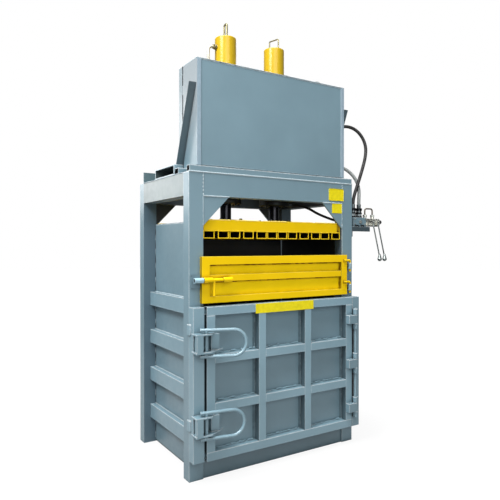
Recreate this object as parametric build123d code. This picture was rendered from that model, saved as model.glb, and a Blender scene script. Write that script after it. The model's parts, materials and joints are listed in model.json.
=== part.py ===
from build123d import *
import os
from math import cos, radians, sin, tan

# Vertical hydraulic baler with two cylinders. Millimetres, +Z up, +X to the right, +Y to the back.
# The origin is the middle of the machine at floor level.

# Main frame
frame_width = 1368
frame_depth = 856
frame_height = 1950
column_width = 100
column_depth = 80
column_wall = 6
beam_height = 150
beam_wall = 6
gusset_leg = 190
gusset_thickness = 12
ear_height = 80
ear_thickness = 10

# Base and pressing chamber
base_height = 140
base_beam_width = 80
base_setback = 10
floor_thickness = 10
wall_thickness = 8
side_window = 160
wall_ground_gap = 15
corner_gap = 8
strap_groove = 8
side_rib_depth = 42
side_rib_height = 100
side_rib_wall = 5
side_rib_count = 4
side_rib_low = 240
side_rib_pitch = 282
rear_rib_depth = 52

# Lower door and its posts
door_bottom = 130
door_height = 970
door_gap = 17
door_plate_thickness = 8
door_back_gap = 2
door_front = 61
post_width = 76
post_bottom = 133
post_top = 1100
hinge_post_width = 66
hinge_post_overhang = 16
door_hinge_gap = 5
door_edge_width = 60
door_rib_width = 56
door_tube_wall = 5
post_tab_length = 65
post_tab_width = 45
post_tab_thickness = 10
post_tab_heights = (960, 362)
post_tab_lap = 15

# Lower door hinge
hinge_pin_radius = 10
running_gap = 0.05
knuckle_radius = 18
hinge_stand_off = 21
hinge_inset = 11
strap_height = 64
strap_reach = 75
strap_leaf = 12
strap_heights = (937, 608, 281)
post_knuckle_height = 42
knuckle_axial_gap = 1
knuckle_lug_width = 16
hinge_pin_tail = 4
strap_spacer_lap = 4
pin_head_radius = 15
pin_head_height = 6

# Lower door latches
latch_heights = (884, 376)
latch_swings = (20, 10)
latch_pin_x = 64
latch_stand_off = 50
latch_pin_radius = 11
fork_half_height = 50
fork_thickness = 10
fork_left_overhang = 14
fork_front = 25
fork_top_reach = 143
fork_bottom_reach = 206
fork_web_width = 43
fork_web_depth = 29
fork_web_inset = 3
fork_flat = 30
fork_tip_depth = 8
fork_door_gap = 2
fork_lug_inset = 16
fork_lug_size = (57, 30)
handle_rod_radius = 11
handle_leg_spacing = 162
handle_tail = 38
handle_reach = 262
bend_allowance = 0.01
keeper_height = 80
keeper_lip = 12
keeper_clear = 10
keeper_length = 38
keeper_stand_off = 8
nose_head = 14
nose_half_height = 44
nose_gap = 24
nose_neck = (-2, 10)
nose_reach = 12.5

# Upper door
feed_door_width = 1216
feed_door_bottom = 1119
feed_door_height = 295
feed_door_thickness = 28
feed_stile_width = 55
feed_top_rail = 52
feed_bottom_rail = 42
feed_mid_rail = 42
feed_mid_rail_bottom = 1255
feed_mid_rail_depth = 20
feed_panel_thickness = 4
feed_hinge_offset = 26
feed_hinge_stand_off = 32
feed_pin_radius = 8
feed_pin_heights = (1372, 1212)
feed_pin_slope = 8
feed_pin_run = 4
feed_pin_drop = 82
feed_pin_bend = 10
feed_socket_radius = 15
feed_socket_height = 46
feed_socket_drop = 18
feed_socket_lug = 10
feed_lug_length = 40

# Slide bolt of the upper door
bolt_height = 1266
bolt_radius = 10
bolt_stand_off = 50
bolt_length = 208
bolt_tip_gap = 4
bolt_sleeve_radius = 16.5
bolt_pad_height = 16
bolt_tip_chamfer = 3
bolt_near_sleeve = (2, 60)
bolt_slot_start = 27
bolt_slot_half = 9
bolt_far_sleeve = (140, 64)
bolt_handle_at = 76
bolt_handle_radius = 8
bolt_handle_drop = 100
keeper_plate_width = 80
keeper_plate_height = 85
keeper_plate_thickness = 8
keeper_sleeve_length = 61
keeper_sleeve_inset = 12
keeper_pad_inset = 22
keeper_plate_inset = 10
keeper_plate_drop = 8
keeper_plate_gap = 2

# Press platen
platen_drop = 270
platen_tube_width = 80
platen_tube_height = 50
platen_tube_wall = 5
strap_slot = 26
seam_gap = 7
platen_front_gap = 14
platen_back_gap = 10
platen_beam_height = 70
platen_beam_width = 60
platen_beam_wall = 6
rod_plate_size = 200
rod_plate_thickness = 20
shoe_thickness = 6
shoe_length = 120
shoe_spread = 250

# Cylinders
cylinder_spacing = 428
cylinder_setback = 365
barrel_radius = 78
barrel_bore = 62.5
barrel_drop = 140
barrel_length = 1177
barrel_cap = 22
barrel_edge = 8
gland_height = 25
gland_chamfer = 4
gland_port_radius = 12
boss_root = 10
hole_clearance = 1
rod_radius = 40
piston_height = 60
piston_top_gap = 40
flange_radius = 115
flange_thickness = 25
flange_bolt_circle = 95
flange_bolt_radius = 9
flange_bolt_head = 12
flange_bolt_count = 8
eye_height = 105
eye_radius = 7
eye_width = 38
eye_turn = 90
thin_eye_height = 78
thin_eye_radius = 5
thin_eye_width = 86
thin_eye_turn = 107
eye_bend = 1.8

# Top of the frame, tank and power pack
top_rail_height = 40
front_rail_depth = 40
second_rail_setback = 165
second_rail_depth = 60
top_rail_wall = 4
top_rail_inset = 4
crosshead_depth = 328
crosshead_height = 70
crosshead_wall = 8
tank_width = 1236
tank_setback = 17
tank_depth = 207
tank_lift = 6
tank_height = 680
tank_sheet = 4
tank_band = 28
tank_recess = 3
stitch_length = 46
stitch_pitch = 103
stitch_count = 12
filler_x = 428
filler_radius = 32
filler_height = 34
rear_post_gap = 12
rear_post_depth = 52
rear_post_width = 40
rear_post_wall = 5
rear_tie_top = 130
rear_tie_height = 60
brace_width = 50
brace_thickness = 6
brace_rise = 522
brace_top_setback = 52
brace_foot_setback = 246
brace_foot_trim = 4
motor_x = 400
motor_setback = 640
motor_radius = 90
motor_length = 250
motor_lift = 105
motor_plate_thickness = 8
motor_plate_left = 110
motor_plate_gap = 4
motor_plate_inset = 6
motor_bearer_depth = 54
motor_fin_count = 7
motor_fin_depth = 8
motor_fin_half = 4
motor_fin_margin = 20
motor_foot = (25, 80, 12)
motor_web = (35, 40)
terminal_half = 45
terminal_rise = 40
fan_cover_length = 46
fan_cover_edge = 12
bell_radius = 78
bell_length = 70
bell_chamfer = 18
pump_size = 86
pump_length = 84
pump_edge = 12
pump_port_radius = 17
pump_port_length = 26

# Control valve
shelf_drop = 357
shelf_length = 190
shelf_width = 110
shelf_thickness = 8
shelf_flange = 37
shelf_wall_drop = 40
valve_setback = 18
manifold_x = 38
manifold_size = (132, 72, 80)
manifold_edge = 4
manifold_foot_gaps = ((22, 38), (76, 34))
manifold_foot_height = 9
valve_body_length = 156
valve_body_size = (60, 58)
valve_body_edge = 5
valve_body_lift = 6
valve_body_setback = 12
fitting_height = 62
fitting_spread = 62
fitting_offset = 8
fitting_nut_radius = 19
fitting_nut_height = 22
fitting_sleeve_radius = 16
valve_ports = (22, 103)
valve_port_radius = 13
valve_port_height = 18
valve_pipe_rise = 146
valve_pipe_bend = 18
valve_pipe_radius = 6
lever_offsets = (50, 104)
lever_length = 250
lever_rod_radius = 5
lever_boss_radius = 14
lever_boss_width = 16
lever_pin_radius = 5
lever_lean = 12.3
lever_pivot_stand_off = 24
lever_pivot_rise = 28
lever_cheek_gap = 0.5
lever_cheek = 7
lever_cheek_reach = 40
lever_cheek_heights = (12, 44)
lever_pin_tail = 7.5
lever_knee = 26
lever_root = (3, 6)
lever_bend = 14
lever_end_stand_off = 30
lever_knob_radius = 17
lever_knob_lift = 16
lever_neck_height = 34
lever_neck_radii = (15, 6)
relief_stem = (7, 18)
relief_knob_radius = 14
relief_knob_length = 22
relief_knob_height = 0.6

# Hoses
large_hose_radius = 13
small_hose_radius = 10
port_radius = 16
port_length = 14
port_drop = 75
gland_port_drop = 12
feed_port_drop = 187
port_root = 6
tank_pipe_reach = 49
tank_pipe_drop = 312
tank_pipe_bend = 34
suction_pipe_reach = 80
suction_pipe_bend = 60

# Places that follow from the sizes above
half_width = frame_width / 2
inner_half = half_width - column_width
front = -frame_depth / 2
back = frame_depth / 2
column_back = front + column_depth
rear_front = back - column_depth
beam_bottom = frame_height - beam_height
wall_height = beam_bottom - side_window
floor_top = base_height + floor_thickness
door_face = front - door_front
door_left = -half_width + post_width + door_gap
hinge_post_left = half_width + hinge_post_overhang - hinge_post_width
door_right = hinge_post_left - door_hinge_gap
door_top = door_bottom + door_height
hinge_x = hinge_post_left + hinge_inset
hinge_y = door_face - hinge_stand_off
latch_x = -half_width + latch_pin_x
latch_y = door_face - latch_stand_off
feed_half = feed_door_width / 2
feed_top = feed_door_bottom + feed_door_height
feed_face = front - door_back_gap - feed_door_thickness
feed_hinge_x = feed_half + feed_hinge_offset
feed_hinge_y = front - feed_hinge_stand_off
bolt_y = front - bolt_stand_off
platen_half = (12 * platen_tube_width + 6 * strap_slot + 5 * seam_gap) / 2
platen_bottom = beam_bottom - platen_drop
platen_front = front + platen_front_gap
platen_back = rear_front - platen_back_gap
platen_top = platen_bottom + platen_tube_height
platen_beam_top = platen_top + platen_beam_height
cylinder_y = front + cylinder_setback
barrel_bottom = frame_height - barrel_drop
barrel_top = barrel_bottom + barrel_length
feed_port_height = barrel_top - feed_port_drop
cylinder_xs = (-cylinder_spacing / 2, cylinder_spacing / 2)
rail_top = frame_height + top_rail_height
tank_bottom = rail_top + tank_lift
tank_top = tank_bottom + tank_height
tank_front = front + tank_setback
tank_back = tank_front + tank_depth
brace_top_height = tank_bottom + brace_rise
crosshead_front = front + second_rail_setback + second_rail_depth
crosshead_back = crosshead_front + crosshead_depth
crosshead_top = frame_height + crosshead_height
valve_front = front + valve_setback
shelf_height = frame_height - shelf_drop
shelf_top = shelf_height + shelf_flange
side_rib_centres = [side_rib_low + side_rib_pitch * n for n in range(side_rib_count)]


def block(x0, x1, y0, y1, z0, z1):
    """Rectangular bar or plate between two opposite corners."""
    middle = Pos((x0 + x1) / 2, (y0 + y1) / 2, (z0 + z1) / 2)
    return middle * Box(abs(x1 - x0), abs(y1 - y0), abs(z1 - z0))


def hollow(x0, x1, y0, y1, z0, z1, wall, along):
    """Rectangular hollow section, open at both ends of the named axis."""
    grow = 1
    bx, by, bz = wall, wall, wall
    if along == "x":
        bx = -grow
    if along == "y":
        by = -grow
    if along == "z":
        bz = -grow
    bore = block(x0 + bx, x1 - bx, y0 + by, y1 - by, z0 + bz, z1 - bz)
    return block(x0, x1, y0, y1, z0, z1) - bore


def upright(x, y, z0, z1, radius):
    """Round bar along Z."""
    return Pos(x, y, (z0 + z1) / 2) * Cylinder(radius, z1 - z0)


def round_x(x0, x1, y, z, radius):
    """Round bar along X."""
    return Pos((x0 + x1) / 2, y, z) * Rot(0, 90, 0) * Cylinder(radius, x1 - x0)


def slab(points, z0, z1):
    """Plate of the plan outline given by its corners, between two heights."""
    outline = make_face(Polyline(*[(x, y, z0) for x, y in points], close=True))
    return extrude(outline, z1 - z0, dir=(0, 0, 1))


def plate_xz(points, y0, y1):
    """Plate of the front outline given by its corners, between two depths."""
    outline = make_face(Polyline(*[(x, y0, z) for x, z in points], close=True))
    return extrude(outline, y1 - y0, dir=(0, 1, 0))


def plate_yz(points, x0, x1):
    """Plate of the side outline given by its corners, between two sideways places."""
    outline = make_face(Polyline(*[(x0, y, z) for y, z in points], close=True))
    return extrude(outline, x1 - x0, dir=(1, 0, 0))


def mirrored(shape):
    """The same piece on the other side of the machine."""
    return mirror(shape, about=Plane.YZ)


def group(shapes):
    """Several separate solids that share one node."""
    return Compound(children=[s for shape in shapes for s in shape.solids()])


def write(shape, name):
    export_step(shape, f"parts/{name}.step")


def bend_radii(points):
    """For each inner point, 0.45 of the shorter run divided by the tangent of half the turn."""
    radii = []
    vectors = [Vector(*p) for p in points]
    for before, here, after in zip(vectors, vectors[1:], vectors[2:]):
        turn = (here - before).get_angle(after - here)
        run = min((here - before).length, (after - here).length)
        radii.append(0.45 * run / tan(radians(turn) / 2))
    return radii


def bent_bar(points, radii, radius):
    """Round bar or hose along straight runs joined by arcs."""
    path = FilletPolyline(*points, radius=radii)
    start = Plane(origin=path @ 0, z_dir=path % 0)
    return sweep(start * Circle(radius), path=path)


def front_column():
    x0 = -half_width
    shape = block(x0, x0 + column_width, front, column_back, 0, frame_height)
    inside = block(x0 + column_wall, x0 + column_width - column_wall, front + column_wall,
                   column_back - column_wall, -1, frame_height - column_wall)
    return shape - inside


def rear_column():
    x0 = -half_width
    shape = block(x0, x0 + column_width, rear_front, back, 0, frame_height)
    inside = block(x0 + column_wall, x0 + column_width - column_wall, rear_front + column_wall,
                   back - column_wall, -1, frame_height - column_wall)
    ear = block(x0, x0 + column_width, rear_front, rear_front + ear_thickness,
                frame_height, frame_height + ear_height)
    return shape - inside + ear


def cross_beam(y0):
    return hollow(-inner_half, inner_half, y0, y0 + column_depth, beam_bottom, frame_height, beam_wall, "x")


def side_beam():
    return hollow(-half_width, -inner_half, column_back, rear_front, beam_bottom, frame_height, beam_wall, "y")


def gusset(y0):
    """Triangular plate in the left upper corner of an opening."""
    corners = [(-inner_half, beam_bottom), (-inner_half, beam_bottom - gusset_leg),
               (-inner_half + gusset_leg, beam_bottom)]
    return plate_xz(corners, y0, y0 + gusset_thickness)


def base_beams():
    """Plinth under the chamber: front and rear beams, two side beams and a middle sleeper."""
    y0 = front + base_setback
    inside_front = y0 + base_beam_width
    inside_back = back - base_beam_width
    beams = [hollow(-inner_half, inner_half, y0, inside_front, 0, base_height, beam_wall, "x")]
    beams.append(hollow(-inner_half, inner_half, inside_back, back, 0, base_height, beam_wall, "x"))
    for x0 in (-inner_half, -base_beam_width / 2, inner_half - base_beam_width):
        beams.append(hollow(x0, x0 + base_beam_width, inside_front, inside_back, 0, base_height, beam_wall, "y"))
    return group(beams)


def slot_centres():
    """Sideways centres of the strap slots, and the left edges of the platen tubes."""
    half = [strap_slot, seam_gap, strap_slot, strap_slot, seam_gap]
    gaps = half + [seam_gap] + half[::-1]
    x = -platen_half
    lefts = [x]
    slots = []
    for gap in gaps:
        x = x + platen_tube_width
        if gap == strap_slot:
            slots.append(x + gap / 2)
        x = x + gap
        lefts.append(x)
    return slots, lefts


def strips():
    """Sideways ends of the floor plates that lie between the strap grooves."""
    edges = [-inner_half]
    for x in slot_centres()[0]:
        edges.append(x - strap_groove / 2)
        edges.append(x + strap_groove / 2)
    edges.append(inner_half)
    return list(zip(edges[::2], edges[1::2]))


def chamber_floor():
    return group([block(x0, x1, front, rear_front, base_height, floor_top) for x0, x1 in strips()])


def side_wall():
    return block(-inner_half - wall_thickness, -inner_half, column_back, rear_front, wall_ground_gap, wall_height)


def rear_wall():
    """Back of the chamber, with a narrow gap left open at the right corner."""
    return block(-inner_half, inner_half - corner_gap, rear_front, rear_front + wall_thickness, base_height, wall_height)


def side_ribs():
    outer = -inner_half - wall_thickness
    return [hollow(outer - side_rib_depth, outer, column_back, rear_front, z - side_rib_height / 2,
                   z + side_rib_height / 2, side_rib_wall, "y") for z in side_rib_centres]


def rear_ribs():
    y0 = rear_front + wall_thickness
    return [hollow(-inner_half, inner_half, y0, y0 + rear_rib_depth, z - side_rib_height / 2,
                   z + side_rib_height / 2, side_rib_wall, "x") for z in side_rib_centres]


def latch_post():
    """Post left of the lower door, with the two small plates on its side."""
    x0 = -half_width
    shape = hollow(x0, x0 + post_width, door_face, front, post_bottom, post_top, column_wall, "z")
    shape = shape + block(x0, x0 + post_width, door_face, front, post_top - column_wall, post_top)
    for z in post_tab_heights:
        tab = block(x0 - post_tab_thickness, x0, front - post_tab_width + post_tab_lap, front + post_tab_lap,
                    z - post_tab_length / 2, z + post_tab_length / 2)
        shape = shape + chamfer(tab.edges().filter_by(Axis.Z).group_by(Axis.X)[0], post_tab_thickness / 2)
    return shape


def hinge_post():
    x1 = hinge_post_left + hinge_post_width
    shape = hollow(hinge_post_left, x1, door_face, front, door_bottom, post_top, column_wall, "z")
    return shape + block(hinge_post_left, x1, door_face, front, post_top - column_wall, post_top)


def post_knuckles():
    """Fixed hinge tubes above and below each door strap, each on its lug."""
    knuckles = []
    bore = hinge_pin_radius + running_gap
    lug_half = knuckle_lug_width / 2
    for z in strap_heights:
        for side in (-1, 1):
            near = z + side * (strap_height / 2 + knuckle_axial_gap)
            far = near + side * post_knuckle_height
            low, high = min(near, far), max(near, far)
            tube = upright(hinge_x, hinge_y, low, high, knuckle_radius)
            lug = block(hinge_x - lug_half, hinge_x + lug_half, hinge_y, door_face, low, high)
            knuckles.append(tube + lug - upright(hinge_x, hinge_y, low - 1, high + 1, bore))
    return group(knuckles)


def door_hinge_pin():
    reach = strap_height / 2 + knuckle_axial_gap + post_knuckle_height
    low = strap_heights[-1] - reach - hinge_pin_tail
    high = strap_heights[0] + reach
    pin = upright(hinge_x, hinge_y, low, high, hinge_pin_radius)
    return pin + upright(hinge_x, hinge_y, high, high + pin_head_height, pin_head_radius)


def keeper_hooks():
    """Hooks on the post that the noses of the two latches turn behind."""
    lip_end = latch_x - keeper_clear
    outer = lip_end - keeper_length
    lip_front = latch_y + keeper_stand_off
    lip_back = lip_front + keeper_lip
    corners = [(outer, door_face), (outer, lip_front), (lip_end, lip_front), (lip_end, lip_back),
               (outer + keeper_lip, lip_back), (outer + keeper_lip, door_face)]
    return group([slab(corners, z - keeper_height / 2, z + keeper_height / 2) for z in latch_heights])


def latch_fork(z):
    """Two wedge plates on the door that carry the latch pin, their end web and the lug between them."""
    left = -half_width - fork_left_overhang
    fork_y = latch_y - fork_front
    pieces = []
    for side, reach in ((1, fork_top_reach), (-1, fork_bottom_reach)):
        tip = -half_width + reach
        corners = [(left, fork_y), (latch_x + fork_flat, fork_y), (tip, door_face - fork_tip_depth), (tip, door_face),
                   (door_left, door_face), (door_left, door_face - fork_door_gap), (left, door_face - fork_door_gap)]
        low = z + side * fork_half_height
        high = low + side * fork_thickness
        plate = slab(corners, min(low, high), max(low, high))
        pieces.append(plate)
    shape = pieces[0] + pieces[1]
    web_left = left + fork_web_inset
    shape = shape + block(web_left, web_left + fork_web_width, fork_y, fork_y + fork_web_depth,
                          z - fork_half_height, z + fork_half_height)
    lug_left = door_left + fork_lug_inset
    shape = shape + block(lug_left, lug_left + fork_lug_size[0], door_face - fork_lug_size[1], door_face,
                          z - fork_half_height, z + fork_half_height)
    reach = fork_half_height + fork_thickness + 1
    bore = latch_pin_radius + running_gap
    return shape - upright(latch_x, latch_y, z - reach, z + reach, bore)


def latch_lever(z, swing):
    """Bent rod handle, its pin through the fork and the nose that turns behind the keeper."""
    leg = handle_leg_spacing / 2
    bend = handle_reach - leg - handle_rod_radius
    points = [(-handle_tail, 0, leg), (bend + leg, 0, leg), (bend + leg, 0, -leg), (-handle_tail, 0, -leg)]
    handle = bent_bar(points, leg - bend_allowance, handle_rod_radius)
    pin = upright(0, 0, -leg, leg, latch_pin_radius)
    head_front = latch_stand_off - nose_gap
    neck = block(nose_neck[0], nose_neck[1], 0, head_front, -nose_half_height, nose_half_height)
    head = block(-nose_reach, nose_neck[1], head_front, head_front + nose_head, -nose_half_height, nose_half_height)
    lever = handle + pin + neck + head
    return Pos(latch_x, latch_y, z) * Rot(0, 0, -swing) * lever


def lower_door_plate():
    y1 = front - door_back_gap
    return block(door_left, door_right, y1 - door_plate_thickness, y1, door_bottom, door_top)


def door_grid_places():
    """Left edges of the two inner uprights and bottoms of the two inner crossbars."""
    inner_width = door_right - door_left - 2 * door_edge_width
    cell_width = (inner_width - 2 * door_rib_width) / 3
    first = door_left + door_edge_width + cell_width
    lefts = [first, first + door_rib_width + cell_width]
    cell_height = (door_height - 4 * door_rib_width) / 3
    low = door_bottom + door_rib_width + cell_height
    bottoms = [low, low + door_rib_width + cell_height]
    return lefts, bottoms


def lower_door_uprights():
    lefts = door_grid_places()[0]
    y0 = door_face
    y1 = front - door_back_gap - door_plate_thickness
    z0 = door_bottom + door_rib_width
    z1 = door_top - door_rib_width
    bars = [hollow(door_left, door_left + door_edge_width, y0, y1, z0, z1, door_tube_wall, "z")]
    bars.append(hollow(door_right - door_edge_width, door_right, y0, y1, z0, z1, door_tube_wall, "z"))
    for x in lefts:
        bars.append(hollow(x, x + door_rib_width, y0, y1, z0, z1, door_tube_wall, "z"))
    return group(bars)


def lower_door_crossbars():
    lefts, bottoms = door_grid_places()
    y0 = door_face
    y1 = front - door_back_gap - door_plate_thickness
    bars = []
    for z in (door_bottom, door_top - door_rib_width):
        bars.append(hollow(door_left, door_right, y0, y1, z, z + door_rib_width, door_tube_wall, "x"))
    starts = [door_left + door_edge_width] + [x + door_rib_width for x in lefts]
    ends = lefts + [door_right - door_edge_width]
    for z in bottoms:
        for x0, x1 in zip(starts, ends):
            bars.append(hollow(x0, x1, y0, y1, z, z + door_rib_width, door_tube_wall, "x"))
    return group(bars)


def door_straps():
    """Three hinge straps: a spacer on the door's edge, a leaf and a rolled knuckle."""
    straps = []
    leaf_front = hinge_y - knuckle_radius
    x0 = hinge_x - strap_reach
    for z in strap_heights:
        low, high = z - strap_height / 2, z + strap_height / 2
        leaf = block(x0, hinge_x, leaf_front, leaf_front + strap_leaf, low, high)
        spacer = block(x0, door_right - strap_spacer_lap, leaf_front, door_face, low, high)
        strap = leaf + spacer + upright(hinge_x, hinge_y, low, high, knuckle_radius)
        straps.append(strap - upright(hinge_x, hinge_y, low - 1, high + 1, hinge_pin_radius + running_gap))
    return group(straps)


def feed_door_frame():
    """Upper door: stiles and rails round two shallow panels."""
    y0, y1 = feed_face, feed_face + feed_door_thickness - feed_panel_thickness
    shape = block(-feed_half, feed_half, y0, y1, feed_door_bottom, feed_top)
    inner = feed_half - feed_stile_width
    mid_top = feed_mid_rail_bottom + feed_mid_rail
    shape = shape - block(-inner, inner, y0 - 1, y1 + 1, feed_door_bottom + feed_bottom_rail, feed_mid_rail_bottom)
    shape = shape - block(-inner, inner, y0 - 1, y1 + 1, mid_top, feed_top - feed_top_rail)
    mid_face = y1 - feed_mid_rail_depth
    return shape - block(-inner, inner, y0 - 1, mid_face, feed_mid_rail_bottom, mid_top)


def feed_door_panel():
    y1 = feed_face + feed_door_thickness
    return block(-feed_half, feed_half, y1 - feed_panel_thickness, y1, feed_door_bottom, feed_top)


def feed_hinge_pins():
    """Bent pins on the upper door's edge that drop into the sockets."""
    pins = []
    for z in feed_pin_heights:
        start = feed_half - feed_lug_length
        points = [(start, feed_hinge_y - feed_pin_slope, z), (feed_half + feed_pin_run, feed_hinge_y, z),
                  (feed_hinge_x, feed_hinge_y, z), (feed_hinge_x, feed_hinge_y, z - feed_pin_drop)]
        pins.append(bent_bar(points, [feed_pin_bend, feed_pin_radius + 1], feed_pin_radius))
    return pins[0] + pins[1]


def feed_sockets():
    """Tubes on the right column that hold the upper door's pins."""
    sockets = []
    for z in feed_pin_heights:
        high = z - feed_socket_drop
        low = high - feed_socket_height
        tube = upright(feed_hinge_x, feed_hinge_y, low, high, feed_socket_radius)
        lug = block(feed_hinge_x - feed_socket_lug / 2, feed_hinge_x + feed_socket_lug / 2,
                    feed_hinge_y, front, low, high)
        bore = upright(feed_hinge_x, feed_hinge_y, low - 1, high + 1, feed_pin_radius + running_gap)
        sockets.append(tube + lug - bore)
    return group(sockets)


def bolt_sleeves():
    """Two guide sleeves on the upper door, each on its pad, the near one slotted below for the bolt's handle."""
    sleeves = []
    pad_half = bolt_pad_height / 2
    mid_face = feed_face + feed_door_thickness - feed_panel_thickness - feed_mid_rail_depth
    for (offset, length), base in ((bolt_near_sleeve, feed_face), (bolt_far_sleeve, mid_face)):
        x0 = -feed_half + offset
        tube = round_x(x0, x0 + length, bolt_y, bolt_height, bolt_sleeve_radius)
        pad_front = bolt_y + bolt_slot_half
        pad = block(x0, x0 + length, pad_front, base, bolt_height - pad_half, bolt_height + pad_half)
        bore = round_x(x0 - 1, x0 + length + 1, bolt_y, bolt_height, bolt_radius + running_gap)
        sleeves.append(tube + pad - bore)
    slot_left = -feed_half + bolt_slot_start
    slot_right = -feed_half + bolt_near_sleeve[0] + bolt_near_sleeve[1] + 1
    slot = block(slot_left, slot_right, bolt_y - bolt_slot_half, bolt_y + bolt_slot_half,
                 bolt_height - bolt_sleeve_radius - 1, bolt_height)
    return group([sleeves[0] - slot, sleeves[1]])


def slide_bolt():
    keeper_end = -half_width + keeper_sleeve_inset + keeper_sleeve_length
    x0 = keeper_end + bolt_tip_gap
    bar = round_x(x0, x0 + bolt_length, bolt_y, bolt_height, bolt_radius)
    bar = chamfer(bar.edges().sort_by(Axis.X)[0], bolt_tip_chamfer)
    handle_x = -feed_half + bolt_handle_at
    handle = upright(handle_x, bolt_y, bolt_height - bolt_handle_drop, bolt_height, bolt_handle_radius)
    return bar + handle


def bolt_keeper():
    """Plate and sleeve on the left column that take the slide bolt."""
    x0 = -half_width + keeper_plate_inset
    middle = bolt_height - keeper_plate_drop
    plate = block(x0, x0 + keeper_plate_width, front - keeper_plate_thickness, front,
                  middle - keeper_plate_height / 2, middle + keeper_plate_height / 2)
    plate_end = -feed_half - keeper_plate_gap
    plate = plate - block(plate_end, x0 + keeper_plate_width + 1, front - keeper_plate_thickness - 1,
                          front + 1, feed_door_bottom - 1, feed_top + 1)
    sleeve_left = -half_width + keeper_sleeve_inset
    sleeve = round_x(sleeve_left, sleeve_left + keeper_sleeve_length, bolt_y, bolt_height, bolt_sleeve_radius)
    pad = block(sleeve_left + keeper_pad_inset, sleeve_left + keeper_sleeve_length, bolt_y, front - keeper_plate_thickness,
                bolt_height - bolt_pad_height / 2, bolt_height + bolt_pad_height / 2)
    bore = round_x(sleeve_left - 1, sleeve_left + keeper_sleeve_length + 1, bolt_y, bolt_height,
                   bolt_radius + running_gap)
    return plate + (sleeve + pad - bore)


def platen_tubes():
    return group([hollow(x, x + platen_tube_width, platen_front, platen_back, platen_bottom, platen_top,
                         platen_tube_wall, "y") for x in slot_centres()[1]])


def channel_x(y0, y1, open_side):
    """Platen cross channel with its web in front (open_side 1) or behind (open_side -1)."""
    wall = platen_beam_wall
    shape = block(-platen_half, platen_half, y0, y1, platen_top, platen_beam_top)
    if open_side > 0:
        cut = block(-platen_half - 1, platen_half + 1, y0 + wall, y1 + 1, platen_top + wall, platen_beam_top - wall)
    else:
        cut = block(-platen_half - 1, platen_half + 1, y0 - 1, y1 - wall, platen_top + wall, platen_beam_top - wall)
    return shape - cut


def platen_beams():
    """Front and rear channels, and the two beams that carry the rods."""
    width = platen_beam_width
    beams = [channel_x(platen_front, platen_front + width, 1), channel_x(platen_back - width, platen_back, -1)]
    for x in cylinder_xs:
        beam = hollow(x - width, x + width, platen_front + width, platen_back - width, platen_top,
                      platen_beam_top, platen_beam_wall, "y")
        beams.append(beam + rod_plate(x))
    return group(beams)


def rod_plate(x):
    half = rod_plate_size / 2
    return block(x - half, x + half, cylinder_y - half, cylinder_y + half, platen_beam_top,
                 platen_beam_top + rod_plate_thickness)


def guide_shoes():
    shoes = []
    middle = (platen_front + platen_back) / 2
    for side in (-1, 1):
        for y in (middle - shoe_spread, middle + shoe_spread):
            x0, x1 = sorted((side * platen_half, side * (platen_half + shoe_thickness)))
            shoes.append(block(x0, x1, y - shoe_length / 2, y + shoe_length / 2, platen_bottom, platen_top))
    return group(shoes)


def piston_rod(x):
    top = barrel_top - barrel_cap - piston_top_gap
    low = platen_beam_top + rod_plate_thickness
    rod = upright(x, cylinder_y, low, top - piston_height, rod_radius)
    return rod + upright(x, cylinder_y, top - piston_height, top, barrel_bore - running_gap)


def barrel(x, side, port_height):
    """Cylinder tube with its closed cap, two flanges and the port boss on one side."""
    tube = upright(x, cylinder_y, barrel_bottom, barrel_top, barrel_radius)
    tube = fillet(tube.edges().sort_by(Axis.Z)[-1], barrel_edge)
    x0, x1 = sorted((x + side * (barrel_radius - port_root), x + side * (barrel_radius + port_length)))
    tube = tube + round_x(x0, x1, cylinder_y, port_height, port_radius)
    flange = upright(x, cylinder_y, crosshead_top, crosshead_top + flange_thickness, flange_radius)
    end_flange = upright(x, cylinder_y, barrel_bottom, barrel_bottom + flange_thickness, flange_radius)
    cavity = upright(x, cylinder_y, barrel_bottom - 1, barrel_top - barrel_cap, barrel_bore)
    return tube + flange + end_flange - cavity


def gland(x):
    ring = upright(x, cylinder_y, barrel_bottom - gland_height, barrel_bottom, flange_radius)
    ring = chamfer(ring.edges().sort_by(Axis.Z)[0], gland_chamfer)
    boss = round_x(x + flange_radius - boss_root, x + flange_radius + port_length, cylinder_y,
                   barrel_bottom - gland_port_drop, gland_port_radius)
    ring = ring + boss
    return ring - upright(x, cylinder_y, barrel_bottom - gland_height - 1, barrel_bottom + 1, rod_radius + running_gap)


def flange_bolts():
    """Hexagon bolts on top of the crosshead flanges and hanging under the glands."""
    bolts = []
    for x in cylinder_xs:
        for z in (crosshead_top + flange_thickness, barrel_bottom - gland_height - flange_bolt_head):
            for n in range(flange_bolt_count):
                turn = radians((n + 0.5) * 360 / flange_bolt_count)
                place = Pos(x + flange_bolt_circle * cos(turn), cylinder_y + flange_bolt_circle * sin(turn), z)
                bolts.append(place * extrude(RegularPolygon(flange_bolt_radius, 6), flange_bolt_head))
    return group(bolts)


def lifting_eye(x, width, height, radius, turn):
    """U-shaped lifting bar on a cylinder's cap, turned from the X axis."""
    dx, dy = width / 2 * cos(radians(turn)), width / 2 * sin(radians(turn))
    z0, z1 = barrel_top, barrel_top + height
    points = [(x - dx, cylinder_y - dy, z0), (x - dx, cylinder_y - dy, z1), (x + dx, cylinder_y + dy, z1),
              (x + dx, cylinder_y + dy, z0)]
    return bent_bar(points, radius * eye_bend, radius)


def front_rail():
    """Open tube across the front of the frame's top, with the stitch pads that the tank stands on."""
    rail = hollow(-half_width + top_rail_inset, half_width - top_rail_inset, front, front + front_rail_depth, frame_height, rail_top,
                  top_rail_wall, "x")
    first = -stitch_pitch * (stitch_count - 1) / 2
    for n in range(stitch_count):
        x = first + n * stitch_pitch
        rail = rail + block(x - stitch_length / 2, x + stitch_length / 2, tank_front, front + front_rail_depth,
                            rail_top, tank_bottom)
    return rail


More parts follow.
